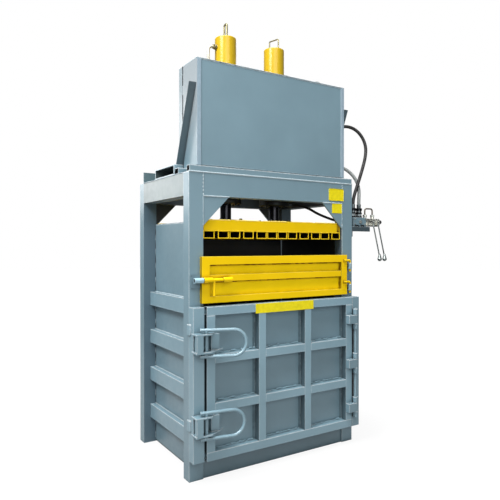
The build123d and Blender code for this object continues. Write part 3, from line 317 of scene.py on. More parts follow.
class Nodes:
    """A material's node tree, wired by short calls."""

    def __init__(self, name, roughness=0.5, metallic=0.0):
        self.material = bpy.data.materials.new(name)
        self.material.use_nodes = True
        self.tree = self.material.node_tree
        self.shader = self.tree.nodes["Principled BSDF"]
        self.shader.inputs["Roughness"].default_value = roughness
        self.shader.inputs["Metallic"].default_value = metallic
        self.coordinates = self.add("ShaderNodeTexCoord")
        self.place = self.coordinates.outputs["Object"]

    def add(self, kind, **settings):
        node = self.tree.nodes.new(kind)
        for key, value in settings.items():
            setattr(node, key, value)
        return node

    def join(self, source, target):
        self.tree.links.new(source, target)

    def feed(self, socket, value):
        """A link where value is a socket too, and otherwise a plain value."""
        if isinstance(value, bpy.types.NodeSocket):
            self.join(value, socket)
        else:
            socket.default_value = value

    def noise(self, scale, detail=4, roughness=0.55, stretch=None):
        """Grey noise of a size in features per metre."""
        node = self.add("ShaderNodeTexNoise")
        node.inputs["Scale"].default_value = scale
        node.inputs["Detail"].default_value = detail
        node.inputs["Roughness"].default_value = roughness
        source = self.place
        if stretch:
            mapping = self.add("ShaderNodeMapping")
            mapping.inputs["Scale"].default_value = stretch
            self.join(source, mapping.inputs["Vector"])
            source = mapping.outputs["Vector"]
        self.join(source, node.inputs["Vector"])
        return node.outputs["Fac"]

    def ramp(self, source, low, high, low_value=0.0, high_value=1.0):
        """source stretched from low..high to low_value..high_value, and held there."""
        node = self.add("ShaderNodeMapRange")
        limits = {"From Min": low, "From Max": high, "To Min": low_value, "To Max": high_value}
        for key, value in limits.items():
            node.inputs[key].default_value = value
        self.join(source, node.inputs["Value"])
        return node.outputs["Result"]

    def mix(self, factor, first, second):
        """Colour between first and second, each a socket or a plain colour."""
        node = self.add("ShaderNodeMix", data_type="RGBA")
        self.feed(node.inputs[0], factor)
        sockets = [s for s in node.inputs if s.type == "RGBA"]
        for socket, value in zip(sockets, (first, second)):
            self.feed(socket, (*value, 1) if isinstance(value, tuple) else value)
        return [s for s in node.outputs if s.type == "RGBA"][0]

    def maths(self, operation, first, second):
        """One step of maths, each side a socket or a number."""
        node = self.add("ShaderNodeMath", operation=operation)
        for socket, value in zip(node.inputs, (first, second)):
            self.feed(socket, value)
        return node.outputs[0]

    def bump(self, heights, edge=0.0):
        """Surface relief from (height, depth in metres) pairs, over edges rounded by a radius."""
        normal = None
        if edge:
            bevel = self.add("ShaderNodeBevel", samples=4)
            bevel.inputs["Radius"].default_value = edge
            normal = bevel.outputs["Normal"]
        for height, depth in heights:
            node = self.add("ShaderNodeBump")
            node.inputs["Strength"].default_value = 1
            node.inputs["Distance"].default_value = depth
            self.join(height, node.inputs["Height"])
            if normal:
                self.join(normal, node.inputs["Normal"])
            normal = node.outputs["Normal"]
        self.join(normal, self.shader.inputs["Normal"])

    def colour(self, source):
        self.join(source, self.shader.inputs["Base Color"])

    def roughness(self, source):
        self.join(source, self.shader.inputs["Roughness"])

    def corners(self, reach):
        """0 in the open to 1 deep in a corner, the mask of grime and painted shade."""
        node = self.add("ShaderNodeAmbientOcclusion", samples=6)
        node.inputs["Distance"].default_value = reach
        return self.ramp(node.outputs["AO"], 0.86, 0.45)

    def upper_edges(self, reach):
        """1 along the edges that look up or to the left, towards the lamps, 0 on the faces: the mask of a
        painted highlight.
        """
        rounded = self.add("ShaderNodeBevel", samples=6)
        rounded.inputs["Radius"].default_value = reach
        flat = self.add("ShaderNodeNewGeometry").outputs["Normal"]
        bent = self.product("DOT_PRODUCT", rounded.outputs["Normal"], flat)
        lit = self.product("DOT_PRODUCT", rounded.outputs["Normal"], (-0.40, -0.25, 0.88))
        return self.maths("MULTIPLY", self.ramp(bent, 0.99, 0.88), self.ramp(lit, 0.30, 0.60))

    def product(self, operation, first, second=(0, 0, 0)):
        """One step of vector maths, each side a socket or a plain vector."""
        node = self.add("ShaderNodeVectorMath", operation=operation)
        for socket, value in zip(node.inputs, (first, second)):
            self.feed(socket, value)
        return node.outputs["Value"] if operation == "DOT_PRODUCT" else node.outputs["Vector"]

    def within(self, centre, half):
        """1 inside a box, 0 outside."""
        away = self.product("ABSOLUTE", self.product("SUBTRACT", self.place, centre))
        parts = self.add("ShaderNodeSeparateXYZ")
        self.join(away, parts.inputs[0])
        inside = [self.maths("LESS_THAN", part, limit) for part, limit in zip(parts.outputs, half)]
        return self.maths("MULTIPLY", self.maths("MULTIPLY", inside[0], inside[1]), inside[2])


def painted(name, colour, grime_and_shade, gloss=0.40, grime_and_shade_share=0.65, edge=0.0025, coat=0.7, shine=0.5, shades=(),
            left_shade=0.0, lit=PALE_HIGHLIGHT, fades=()):
    """Sprayed paint over steel: faint clouds, orange peel, dust, painted highlights on upper edges,
    grime and painted shade in the corners, and painted shade low down.

    shades are (centre, half, colour, evenness) of boxes whose surfaces take another colour, whole at an
    evenness of 1 and in patches below it; most are painted shade, a few painted highlight. fades are
    (centre, half, colour) of boxes that take another colour towards their top, a painted sheen. left_shade
    darkens the faces that look to the left. lit is the colour of the painted highlight on upper edges.
    """
    n = Nodes(name, roughness=gloss)
    clouds = n.ramp(n.noise(2.3, 3), 0.3, 0.7)
    lighter = tuple(min(1, c * 1.06 + 0.004) for c in colour)
    base = n.mix(clouds, toned(colour, 0.94), lighter)
    runs = n.ramp(n.noise(9, 5, 0.6, stretch=(1, 1, 0.12)), 0.56, 0.78, 0, 0.10)
    base = n.mix(runs, base, toned(colour, 0.78))
    specks = n.ramp(n.noise(160, 2, 0.5), 0.70, 0.76, 0, 0.35)
    base = n.mix(specks, base, tuple(0.6 * c + 0.02 for c in colour))
    smears = n.ramp(n.noise(14, 6, 0.65), 0.28, 0.55, 0.3, 1)
    # Grime and painted shade in the corners, in smeared patches
    corner_grime_and_shade = n.maths("MULTIPLY", n.corners(0.030), smears)
    base = n.mix(n.maths("MULTIPLY", corner_grime_and_shade, grime_and_shade_share), base, grime_and_shade)
    # Painted highlight: upper edges that face the lamps lightened to the lit colour, in patches
    edge_highlight = n.maths("MULTIPLY", n.upper_edges(edge * 4.4), n.ramp(n.noise(30, 5, 0.7), 0.34, 0.54, 0.5, 1))
    base = n.mix(edge_highlight, base, lit)
    height = n.add("ShaderNodeSeparateXYZ")
    n.join(n.place, height.inputs[0])
    # Painted shade: darker towards the bottom, from 1.3 m down to 0.1 m
    low_shade = n.ramp(height.outputs["Z"], 1.3, 0.1, 0, 0.22)
    base = n.mix(low_shade, base, toned(colour, 0.35))
    patches = n.ramp(n.noise(26, 4), 0.38, 0.56)
    # Painted shade, and a little painted highlight, in the given boxes
    for centre, half, other, evenness in shades:
        share = n.maths("MAXIMUM", patches, evenness)
        base = n.mix(n.maths("MULTIPLY", n.within(centre, half), share), base, other)
    # Painted sheen: paler towards the top of the given boxes
    for centre, half, other in fades:
        upper = n.ramp(height.outputs["Z"], centre[2] - half[2] * 0.9, centre[2] + half[2] * 0.2)
        base = n.mix(n.maths("MULTIPLY", n.within(centre, half), upper), base, other)
    if left_shade:
        looks_left = n.product("DOT_PRODUCT", n.coordinates.outputs["Normal"], (-1, 0, 0))
        base = n.mix(n.ramp(looks_left, 0.6, 0.9, 0, left_shade), base, toned(colour, 0.2))
    n.colour(base)
    n.shader.inputs["Specular IOR Level"].default_value = shine
    n.roughness(n.ramp(n.noise(20, 4), 0.3, 0.7, gloss - 0.07, gloss + 0.10))
    n.shader.inputs["Coat Weight"].default_value = coat
    n.shader.inputs["Coat Roughness"].default_value = 0.22
    n.bump([(n.noise(340, 2), 0.00014), (n.noise(5, 2), 0.0006)], edge)
    return n.material


def metal(name, colour, gloss, grain, edge=0.001, stretch=(1, 1, 1), metallic=1.0, stained=0.55):
    """Bare or plated steel with brushed grain, and stains that keep a share of the colour."""
    n = Nodes(name, roughness=gloss, metallic=metallic)
    stain = n.ramp(n.noise(24, 5, 0.6), 0.42, 0.68)
    n.colour(n.mix(stain, colour, toned(colour, stained)))
    lines = n.noise(grain, 3, 0.5, stretch=stretch)
    n.roughness(n.ramp(lines, 0.3, 0.7, gloss - 0.08, gloss + 0.14))
    n.bump([(lines, 0.0002)], edge)
    return n.material


def rubber(name, colour):
    """Hose cover with a faint cloth wrap."""
    n = Nodes(name, roughness=0.55)
    wrap = n.noise(420, 2)
    dust = n.ramp(n.noise(16, 5), 0.45, 0.75, 0, 0.4)
    n.colour(n.mix(dust, colour, tuple(min(1, c + 0.06) for c in colour)))
    n.roughness(n.ramp(wrap, 0.3, 0.7, 0.45, 0.68))
    n.bump([(wrap, 0.0005)])
    return n.material


def plastic(name, colour, gloss=0.4):
    """Moulded plastic with a fine grain."""
    n = Nodes(name, roughness=gloss)
    tone = n.ramp(n.noise(40, 3), 0.3, 0.7)
    n.colour(n.mix(tone, colour, toned(colour, 0.85)))
    n.bump([(n.noise(600, 2), 0.0001)], 0.0008)
    return n.material


# Places of painted shade and light, each with its centre, half size, colour and evenness


# Painted shade inside the pressing chamber, near black
CHAMBER = ((0, 0, 0.89), (INNER_X + 0.0005, 0.349, 0.745), (0.002, 0.003, 0.003), 1)
# Painted shade under the head beams
UNDER_BEAMS = ((0, 0.045, 1.797), (INNER_X + 0.0005, 0.375, 0.1545), (0.032, 0.042, 0.052), 1)
# Painted shade on the inner face of the right front column
INNER_FACE = ((INNER_X, -0.3865, 0.96), (0.003, 0.0385, 0.84), (0.050, 0.075, 0.095), 1)
# Painted shade in the gap between the latch post and the lower door
DOOR_GAP = ((-0.5995, -0.4575, 0.615), (0.0095, 0.0308, 0.49), (0.010, 0.012, 0.014), 1)
# Painted shade in the gap beside the hinge pin
HINGE_GAP = ((0.6385, -0.489, 0.607), (0.0055, 0.003, 0.405), (0.005, 0.006, 0.007), 1)
# Painted shade on the fronts of the rear columns
REAR_COLUMN_FRONTS = ((0, COLUMN_EDGE, 0.96), (0.690, 0.003, 0.955), (0.075, 0.125, 0.160), 1)
# Patchy painted shade in the joints at the back of the side walls
REAR_JOINTS = ((0, 0.3425, 0.83), (0.5935, 0.0055, 0.81), (0.012, 0.016, 0.020), 0.4)
# Painted shade on the ear plates at the top of the rear columns
REAR_EARS = [((x, 0.388, 1.992), (0.06, 0.045, 0.040), (0.085, 0.140, 0.160), 1)
             for x in (-COLUMN_X, COLUMN_X)]
# Painted shade inside the crosshead's open ends
CROSSHEAD_INSIDE = ((0, -0.039, 1.985), (HALF_WIDTH - 0.0005, 0.1575, 0.030), (0.060, 0.085, 0.090), 1)
# The barrels' lower ends, painted near black in the shade under the crosshead
CYLINDER_ENDS = ((0, CYLINDER_Y, 1.86), (0.45, 0.16, 0.09), (0.03, 0.028, 0.022), 1)
# Painted shade inside the open ends of the top rails
RAIL_MOUTHS = [((0, y, 1.970), (0.6795, half, 0.0165), (0.004, 0.005, 0.006), 1)
               for y, half in ((-0.408, 0.0165), (-0.233, 0.0265))]
# Painted shade in the gap under the tank
TANK_FOOT = ((0, -0.400, 1.9937), (0.640, 0.020, 0.0032), (0.012, 0.014, 0.016), 1)
# Painted shade on the fronts of the tank's rear posts, in the gap behind the tank
POST_FRONTS = ((0, -0.192, 2.33), (0.64, 0.002, 0.40), (0.006, 0.007, 0.008), 1)
# Painted shade inside the keeper sleeve's bore
KEEPER_BORE = ((-0.6415, -0.478, 1.266), (0.0315, 0.0102, 0.0102), (0.003, 0.003, 0.003), 1)
# Painted shade in the gaps under the valve manifold
MANIFOLD_GAPS = [((x, -0.410, 1.6385), (0.019, 0.003, 0.0055), (0.004, 0.005, 0.006), 1)
                 for x in (0.752, 0.812)]
# Patchy painted shade at the open right end of the platen channel
CHANNEL_END = ((0.557, -0.412, 1.615), (0.013, 0.004, 0.030), (0.10, 0.04, 0.004), 0.6)


def tank_strip(x, y, half_x, half_y):
    """Centre and half size of an upright strip as high as the tank."""
    low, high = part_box("oil_tank")
    return (x, y, (low.z + high.z) / 2), (half_x, half_y, (high.z - low.z) / 2)


def tank_edge_highlights():
    """Painted highlights: paler upright bands at both ends of the tank's front."""
    low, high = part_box("oil_tank")
    half = 0.014
    return [(*tank_strip(x, low.y, half + 0.0001, 0.003), (0.27, 0.36, 0.43), 0.8)
            for x in (low.x + half, high.x - half)]


def tank_gap_shade():
    """Painted shade: dark upright lines in the gaps at the back of the tank's sides."""
    low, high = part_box("oil_tank")
    return [(*tank_strip(x, high.y - 0.005, 0.003, 0.005), (0.02, 0.024, 0.028), 1) for x in (low.x, high.x)]


def tank_side_sheen():
    """Painted sheen: the sides of the tank, paler towards the top."""
    low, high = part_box("oil_tank")
    middle, half = (low.y + high.y) / 2, (high.y - low.y) / 2
    return [(*tank_strip(x, middle, 0.003, half), (0.29, 0.335, 0.36)) for x in (low.x, high.x)]


def pocket_shadows(paint):
    """Dusky bands on the door plate along the left of its upright bars."""
    columns, rows = door_grid()
    face, low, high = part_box("lower_door_plate")[LOW].y, rows[0][0], rows[-1][1]
    half = (0.012, 0.006, (high - low) / 2)
    return [((right - 0.008, face, (low + high) / 2), half, toned(paint, 0.46), 0.7) for _, right in columns]


def pocket_edge_shade():
    """Painted shade: brown lines along the edges of the two pockets of the upper door."""
    low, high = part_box("upper_door_panel")
    stile, line, brown = 0.055, 0.0045, (0.20, 0.075, 0.004)
    left, right = low.x + stile, high.x - stile
    bands = []
    for bottom, top in ((low.z + 0.042, 1.255), (1.297, high.z - 0.052)):
        over = ((left + right) / 2, low.y, top - line)
        bands.append((over, ((right - left) / 2, 0.003, line), brown, 0.45))
        for x in (left + line, right - line):
            beside = (x, low.y, (bottom + top) / 2)
            bands.append((beside, (line, 0.003, (top - bottom) / 2), brown, 0.35))
    return bands


def keeper_plate(paint):
    """The darker plate that carries the keeper sleeve of the slide bolt."""
    low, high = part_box("bolt_keeper")
    centre = ((low.x + high.x) / 2, -0.433, (low.z + high.z) / 2)
    half = ((high.x - low.x) / 2 + 0.001, 0.0055, (high.z - low.z) / 2 + 0.001)
    return centre, half, toned(paint, 0.76), 1


def tube_mouth_shade():
    """Painted shade inside the platen's tubes, a little behind their open front ends."""
    low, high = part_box("platen_tubes")
    centre, half = (low + high) / 2, (high - low) / 2
    return tuple(centre), (half.x - 0.0005, half.y - 0.003, half.z - 0.0005), (0.010, 0.006, 0.002), 1


# Finishes


def grey_paints(grey):
    """Name to the properties of each blue grey paint, and of the beads in it. Many are lighter or darker
    copies of the frame's grey, painted light and shade.
    """
    # The corner colours below, a darker grey and black, are grime and painted shade in the corners
    plain = {"colour": grey, "grime_and_shade": toned(grey, 0.40)}
    oily_and_shaded = {"grime_and_shade": (0.02, 0.02, 0.02), "grime_and_shade_share": 0.6, "edge": 0.0015, "lit": SOFT_HIGHLIGHT}
    return {
        "frame_paint": dict(plain, shades=[REAR_COLUMN_FRONTS, REAR_JOINTS, CHAMBER, UNDER_BEAMS, *REAR_EARS,
                                           DOOR_GAP, INNER_FACE]),
        "tank_paint": dict(plain, shades=[*tank_edge_highlights(), *tank_gap_shade()], fades=tank_side_sheen()),
        # A paler copy of the grey, a painted sheen on the tank's rear posts
        "post_paint": dict(plain, colour=(0.25, 0.31, 0.34), shades=[POST_FRONTS]),
        "rail_paint": dict(plain, shades=[*RAIL_MOUTHS, TANK_FOOT]),
        # A darker copy of the grey, painted shade on the base beams
        "base_paint": dict(plain, colour=toned(grey, 0.76), gloss=0.42, lit=SOFT_HIGHLIGHT),
        "plate_paint": dict(plain, shades=[*pocket_shadows(grey), DOOR_GAP]),
        "crosshead_paint": dict(plain, shades=[CROSSHEAD_INSIDE]),
        # A darker copy of the grey, painted shade on the sides of the top beams
        "side_beam_paint": dict(plain, colour=(0.15, 0.20, 0.205), shades=[UNDER_BEAMS]),
        # A paler copy of the grey, painted light on the hinge post
        "hinge_paint": dict(plain, colour=toned(grey, 1.15), shades=[HINGE_GAP]),
        # A much paler copy of the grey, a painted highlight on the keeper sleeve
        "keeper_paint": dict(plain, colour=toned(grey, 1.9), gloss=0.34, edge=0.001,
                             shades=[keeper_plate(grey), KEEPER_BORE]),
        # A paler copy of the grey, painted light on the side ribs and the latch post
        "rib_paint": dict(plain, colour=toned(grey, 1.22), gloss=0.38, shades=[DOOR_GAP]),
        # A paler copy of the grey, painted light on the door's bars, with painted shade on their left faces
        "bar_paint": dict(colour=toned(grey, 1.34), grime_and_shade=toned(grey, 0.35), gloss=0.38, shades=[DOOR_GAP],
                          left_shade=0.9),
        "manifold_paint": dict(colour=toned(grey, 0.95), grime_and_shade=toned(grey, 0.2), gloss=0.34,
                               grime_and_shade_share=0.8, edge=0.001, shades=MANIFOLD_GAPS),
        # A paler copy of the grey, a painted highlight on the handles
        "handle_paint": dict(colour=toned(grey, 1.22), grime_and_shade=toned(grey, 0.25), gloss=0.28,
                             grime_and_shade_share=0.7, edge=0.001, coat=0.6),
        # A paler copy of the grey with full corner darkening, painted light and painted shade on the latch
        # forks
        "fork_paint": dict(colour=toned(grey, 1.15), grime_and_shade=toned(grey, 0.08), gloss=0.36, grime_and_shade_share=1,
                           edge=0.0015),
        # A darker copy of the grey, painted shade on the tank braces
        "brace_paint": dict(oily_and_shaded, colour=toned(grey, 0.42), gloss=0.42),
        "motor_paint": dict(oily_and_shaded, colour=toned(grey, 0.55), gloss=0.45),
        # A darker copy of the grey, painted shade on the valve shelf
        "shelf_paint": dict(oily_and_shaded, colour=toned(grey, 0.24), gloss=0.45),
        # Paler paints on the beads, a painted highlight
        "bead_paint": dict(colour=(0.46, 0.56, 0.60), grime_and_shade=(0.05, 0.06, 0.07), gloss=0.35,
                           grime_and_shade_share=0.5, edge=0.001),
        "pocket_bead": dict(colour=toned(grey, 1.55), grime_and_shade=toned(grey, 0.3), gloss=0.35, grime_and_shade_share=0.8,
                            edge=0.001),
    }


def yellow_paints(yellow, rust_and_shade):
    """Name to the properties of each yellow paint, and of the beads in it. Several are lighter or darker
    copies of the yellow, painted light and shade.
    """
    red, green, blue = yellow
    rusty_and_shaded = {"grime_and_shade": rust_and_shade, "grime_and_shade_share": 0.9, "edge": 0.002, "lit": YELLOW_HIGHLIGHT}
    dull = dict(rusty_and_shaded, gloss=0.36, coat=0.04, shine=0.12)
    return {
        # A darker copy of the yellow, painted shade
        "yellow_paint": dict(dull, colour=toned(yellow, 0.89), shades=[CHANNEL_END]),
        # A paler copy of the yellow, painted light on the platen tubes and the slide bolt
        "tube_paint": dict(dull, colour=toned(yellow, 1.1), grime_and_shade_share=0.4, shades=[tube_mouth_shade()]),
        "door_frame_paint": dict(dull, colour=yellow, left_shade=0.8),
        # A paler copy of the yellow, painted light on the upper door's panel
        "panel_paint": dict(dull, colour=(red * 1.08, green * 1.18, blue), grime_and_shade_share=0.5,
                            shades=pocket_edge_shade()),
        # A darker copy of the yellow, painted shade on the barrels
        "barrel_paint": dict(rusty_and_shaded, colour=(red * 0.64, green * 0.62, blue + 0.004), gloss=0.3, coat=0.5,
                             shine=0.3, shades=[CYLINDER_ENDS]),
        # Paler yellow on the platen's edge bead, a painted highlight
        "yellow_bead": dict(colour=(0.95, 0.74, 0.20), grime_and_shade=(0.20, 0.08, 0.01), gloss=0.35,
                            grime_and_shade_share=0.5, edge=0.001, coat=0.1, shine=0.2, lit=YELLOW_HIGHLIGHT),
    }


def metals(steel, iron):
    """Name to the properties of each bare or plated metal."""
    return {
        "rod_steel": dict(colour=(0.03, 0.03, 0.034), gloss=0.16, grain=30, edge=0.0005, stretch=(60, 60, 1)),
        "bright_steel": dict(colour=steel, gloss=0.36, grain=220, metallic=0.7),
        "dark_steel": dict(colour=iron, gloss=0.45, grain=160),
        "valve_zinc": dict(colour=(0.86, 0.86, 0.78), gloss=0.26, grain=90, metallic=0.75, stained=0.12),
        "lever_chrome": dict(colour=(0.36, 0.40, 0.39), gloss=0.30, grain=300),
        "union_zinc": dict(colour=(0.17, 0.20, 0.21), gloss=0.30, grain=200, metallic=0.8, stained=0.4),
        "union_black": dict(colour=(0.02, 0.022, 0.025), gloss=0.35, grain=200),
        "pipe_dark": dict(colour=(0.20, 0.17, 0.14), gloss=0.4, grain=220, metallic=0.5),
        "pipe_zinc": dict(colour=(0.66, 0.62, 0.52), gloss=0.4, grain=220, metallic=0.4),
        "eye_brass": dict(colour=(0.33, 0.30, 0.17), gloss=0.42, grain=180),
    }


def build_materials():
    """Fills MATERIALS, from the colours in the settings."""
    paint = bpy.context.scene.baler_paint
    sprayed = grey_paints(tuple(paint.frame_colour))
    sprayed.update(yellow_paints(tuple(paint.yellow_colour), tuple(paint.rust_and_shade_colour)))
    for name, look in sprayed.items():
        MATERIALS[name] = painted(name, **look)
    for name, look in metals(tuple(paint.steel_colour), tuple(paint.iron_colour)).items():
        MATERIALS[name] = metal(name, **look)
    MATERIALS["cap_plastic"] = plastic("cap_plastic", (0.19, 0.22, 0.22))
    MATERIALS["knob_plastic"] = plastic("knob_plastic", (0.02, 0.02, 0.022), 0.3)
    MATERIALS["sign_plate"] = plastic("sign_plate", tuple(paint.sign_colour), 0.35)
    MATERIALS["hose_black"] = rubber("hose_black", (0.012, 0.011, 0.011))
    MATERIALS["hose_grey"] = rubber("hose_grey", (0.26, 0.28, 0.275))


# Nodes whose finish is another than that of their slot, many of them lighter or darker copies that paint
# light and shade
FINISH_OF = {
    "oil_tank": "tank_paint", "tank_rear_posts": "post_paint", "tank_braces": "brace_paint",
    "top_rails": "rail_paint", "base_beams": "base_paint", "side_top_beams": "side_beam_paint",
    "side_ribs": "rib_paint", "latch_post": "rib_paint", "hinge_post": "hinge_paint",
    "cylinder_crosshead": "crosshead_paint", "cylinder_barrels": "barrel_paint",
    "flange_bolts": "dark_steel", "lower_door_plate": "plate_paint", "lower_door_uprights": "bar_paint",
    "lower_door_crossbars": "bar_paint", "latch_forks": "fork_paint",
    "bolt_keeper": "keeper_paint", "slide_bolt": "tube_paint",
    "upper_door_frame": "door_frame_paint", "upper_door_panel": "panel_paint", "platen_tubes": "tube_paint",
    "valve_shelf": "shelf_paint", "valve_manifold": "manifold_paint", "valve_body": "valve_zinc",
    "left_valve_lever": "lever_chrome", "right_valve_lever": "lever_chrome",
    "valve_pipe": "pipe_dark", "tank_pipe": "pipe_zinc",
}


# Pieces


CAMERA_PLACE = (-2.0919, -3.3759, 1.4823)
CAMERA_TILT, CAMERA_TURN = 90 - 0.464, -32.22
SENSOR_WIDTH = 36
LAMPS = [
    # name, place, what it points at, size, its setting, share of that setting
    ("side_lamp", (-2.3, 3.2, 2.75), (-0.66, -0.1, 2.2), (3.2, 1.5), "side_light", 1),
    ("left_lamp", (-4.4, -1.3, 5.8), (-0.6, 0, 1.6), (2.0, 2.0), "side_light", 10.7),
    ("top_lamp", (-1.7, -1.9, 9.5), (0, -0.2, 1.5), (4.0, 4.0), "top_light", 1),
    ("front_lamp", (-1.6, -6.0, 3.4), (0, 0, 1.5), (4.5, 4.5), "front_light", 1),
    ("back_lamp", (3.5, 4.5, 4.5), (0, 0, 1.6), (4.0, 4.0), "front_light", 0.4),
]


class BALER_OT_stage(bpy.types.Operator):
    """Camera at the photograph's viewpoint, pale floor and soft studio lamps"""

    bl_idname = "baler.stage"
    bl_label = "Stage"

    def execute(self, context):
        settings = context.scene.baler_stage
        self.add_camera(context, settings.focal_length)
        self.add_floor(context)
        for name, place, target, size, setting, share in LAMPS:
            self.add_lamp(name, place, target, size, getattr(settings, setting) * share)
        self.add_world(context, settings.sky)
        context.scene.view_settings.view_transform = "Standard"
        return {"FINISHED"}

    def add_camera(self, context, lens):
        data = bpy.data.cameras.new("baler_camera")
        data.lens = lens
        data.sensor_width = SENSOR_WIDTH
        camera = added("baler_camera", data)
        camera.location = CAMERA_PLACE
        camera.rotation_euler = (math.radians(CAMERA_TILT), 0, math.radians(CAMERA_TURN))
        context.scene.camera = camera

    def add_floor(self, context):
        """A round floor under the feet, grey to light and nearly white to the camera."""
        deselect()
        bpy.ops.mesh.primitive_circle_add(vertices=64, radius=30, fill_type="NGON", location=(0, 0, -0.0005))
        floor = context.object
        floor.name = "studio_floor"
        n = Nodes("studio_floor", roughness=0.9)
        n.shader.inputs["Base Color"].default_value = (0.30, 0.30, 0.30, 1)
        n.shader.inputs["Specular IOR Level"].default_value = 0.1
        glow = n.add("ShaderNodeEmission")
        glow.inputs["Strength"].default_value = 1.12
        path = n.add("ShaderNodeLightPath")
        length = n.add("ShaderNodeVectorMath", operation="LENGTH")
        n.join(n.place, length.inputs[0])
        far = n.ramp(length.outputs["Value"], 1.0, 2.2, 0.82, 1)
        blend = n.add("ShaderNodeMixShader")
        n.join(n.maths("MULTIPLY", path.outputs["Is Camera Ray"], far), blend.inputs[0])
        n.join(n.shader.outputs[0], blend.inputs[1])
        n.join(glow.outputs[0], blend.inputs[2])
        n.join(blend.outputs[0], n.tree.nodes["Material Output"].inputs["Surface"])
        floor.data.materials.append(n.material)

    def add_lamp(self, name, place, target, size, power):
        """A soft rectangular lamp that points at its target."""
        data = bpy.data.lights.new(name, "AREA")
        data.energy = power
        data.shape = "RECTANGLE"
        data.size, data.size_y = size
        lamp = added(name, data)
        lamp.location = place
        lamp.rotation_euler = (Vector(target) - Vector(place)).to_track_quat("-Z", "Y").to_euler()

    def add_world(self, context, strength):
        """Even light from all round, and plain white behind the object."""
        world = bpy.data.worlds.new("studio")
        context.scene.world = world
        world.use_nodes = True
        tree = world.node_tree
        plain = tree.nodes["Background"]
        plain.inputs["Color"].default_value = (0.97, 0.985, 1, 1)
        plain.inputs["Strength"].default_value = strength
        white = tree.nodes.new("ShaderNodeBackground")
        white.inputs["Color"].default_value = (1, 1, 1, 1)
        white.inputs["Strength"].default_value = 1
        path = tree.nodes.new("ShaderNodeLightPath")
        blend = tree.nodes.new("ShaderNodeMixShader")
        tree.links.new(path.outputs["Is Camera Ray"], blend.inputs[0])
        tree.links.new(plain.outputs[0], blend.inputs[1])
        tree.links.new(white.outputs[0], blend.inputs[2])
        tree.links.new(blend.outputs[0], tree.nodes["World Output"].inputs["Surface"])


class BALER_OT_paint(bpy.types.Operator):
    """Finishes of the frame's own parts"""

    bl_idname = "baler.paint"
    bl_label = "Paint"

    def execute(self, context):
        build_materials()
        for name, node in NODES.items():
            material = MATERIALS[FINISH_OF.get(name, SLOT_OF[name])]
            for slot in node.material_slots:
                slot.material = material
        return {"FINISHED"}


HOSES = [
    # name, which diameter, finish, length, points of its route
    ("feed_line", "large_diameter", "hose_black", 1.62, [
        (0.306, -0.063, 2.800), (0.386, -0.063, 2.800), (0.474, -0.067, 2.762), (0.530, -0.075, 2.684),
        (0.566, -0.085, 2.592), (0.622, -0.098, 2.510), (0.704, -0.116, 2.456), (0.796, -0.138, 2.448),
        (0.876, -0.161, 2.470), (0.956, -0.187, 2.444), (1.009, -0.212, 2.378), (1.020, -0.238, 2.294),
        (0.984, -0.266, 2.204), (0.920, -0.300, 2.106), (0.858, -0.332, 2.022), (0.803, -0.358, 1.946),
        (0.765, -0.369, 1.880), (0.749, -0.370, 1.820), (0.749, -0.370, 1.764)]),
    ("pressure_line", "large_diameter", "hose_grey", 1.44, [
        (0.163, 0.212, 2.202), (0.163, 0.212, 2.286), (0.195, 0.182, 2.366), (0.259, 0.128, 2.402),
        (0.349, 0.082, 2.392), (0.443, 0.044, 2.342), (0.535, 0.012, 2.264), (0.620, -0.024, 2.204),
        (0.716, -0.058, 2.170), (0.806, -0.098, 2.150), (0.866, -0.160, 2.116), (0.888, -0.230, 2.052),
        (0.868, -0.298, 1.982), (0.836, -0.350, 1.912), (0.811, -0.370, 1.840), (0.811, -0.370, 1.764)]),
    ("rod_side_line", "small_diameter", "hose_black", 0.56, [
        (0.343, -0.063, 1.798), (0.403, -0.063, 1.798), (0.473, -0.070, 1.800), (0.539, -0.092, 1.780),
        (0.596, -0.128, 1.738), (0.678, -0.176, 1.700), (0.724, -0.214, 1.680), (0.746, -0.270, 1.670),
        (0.746, -0.330, 1.670)]),
]


class BALER_OT_hoses(bpy.types.Operator):
    """The three hydraulic hoses, each one smooth curve"""

    bl_idname = "baler.hoses"
    bl_label = "Hoses"

    def execute(self, context):
        settings = context.scene.baler_hoses
        for name, diameter, slot, length, points in HOSES:
            width = getattr(settings, diameter)
            data = bpy.data.curves.new(name, "CURVE")
            data.dimensions = "3D"
            data.bevel_depth = width / 2
            data.bevel_resolution = 6
            data.resolution_u = 10
            data.use_fill_caps = True
            spline = data.splines.new("NURBS")
            spline.points.add(len(points) - 1)
            for point, place in zip(spline.points, points):
                point.co = (*place, 1)
            spline.order_u = 3
            spline.use_endpoint_u = True
            hose = added(name, data)
            data.materials.append(MATERIALS[slot])
            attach(hose, "frame")
            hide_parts(name.replace("_line", "_hose"))
        return {"FINISHED"}


SIGN_TOP, SIGN_THICKNESS = 1.907, 0.0016
SIGNS = [
    # name, body, left, right, bottom, top, the face that it lies on
    ("beam_plate_large", "frame", 0.455, 0.596, 1.818, SIGN_TOP, HEAD_FRONT),
    ("beam_plate_small", "frame", 0.485, 0.583, 1.725, 1.801, HEAD_FRONT),
    ("door_plate", "lower_door", -0.228, 0.260, 1.035, 1.098, side_of("lower_door_crossbars", LOW, "y")),
]
EYE_FEET = [(-CYLINDER_X, -0.082), (-CYLINDER_X, -0.044), (0.2266, -0.1041), (0.2014, -0.0219)]


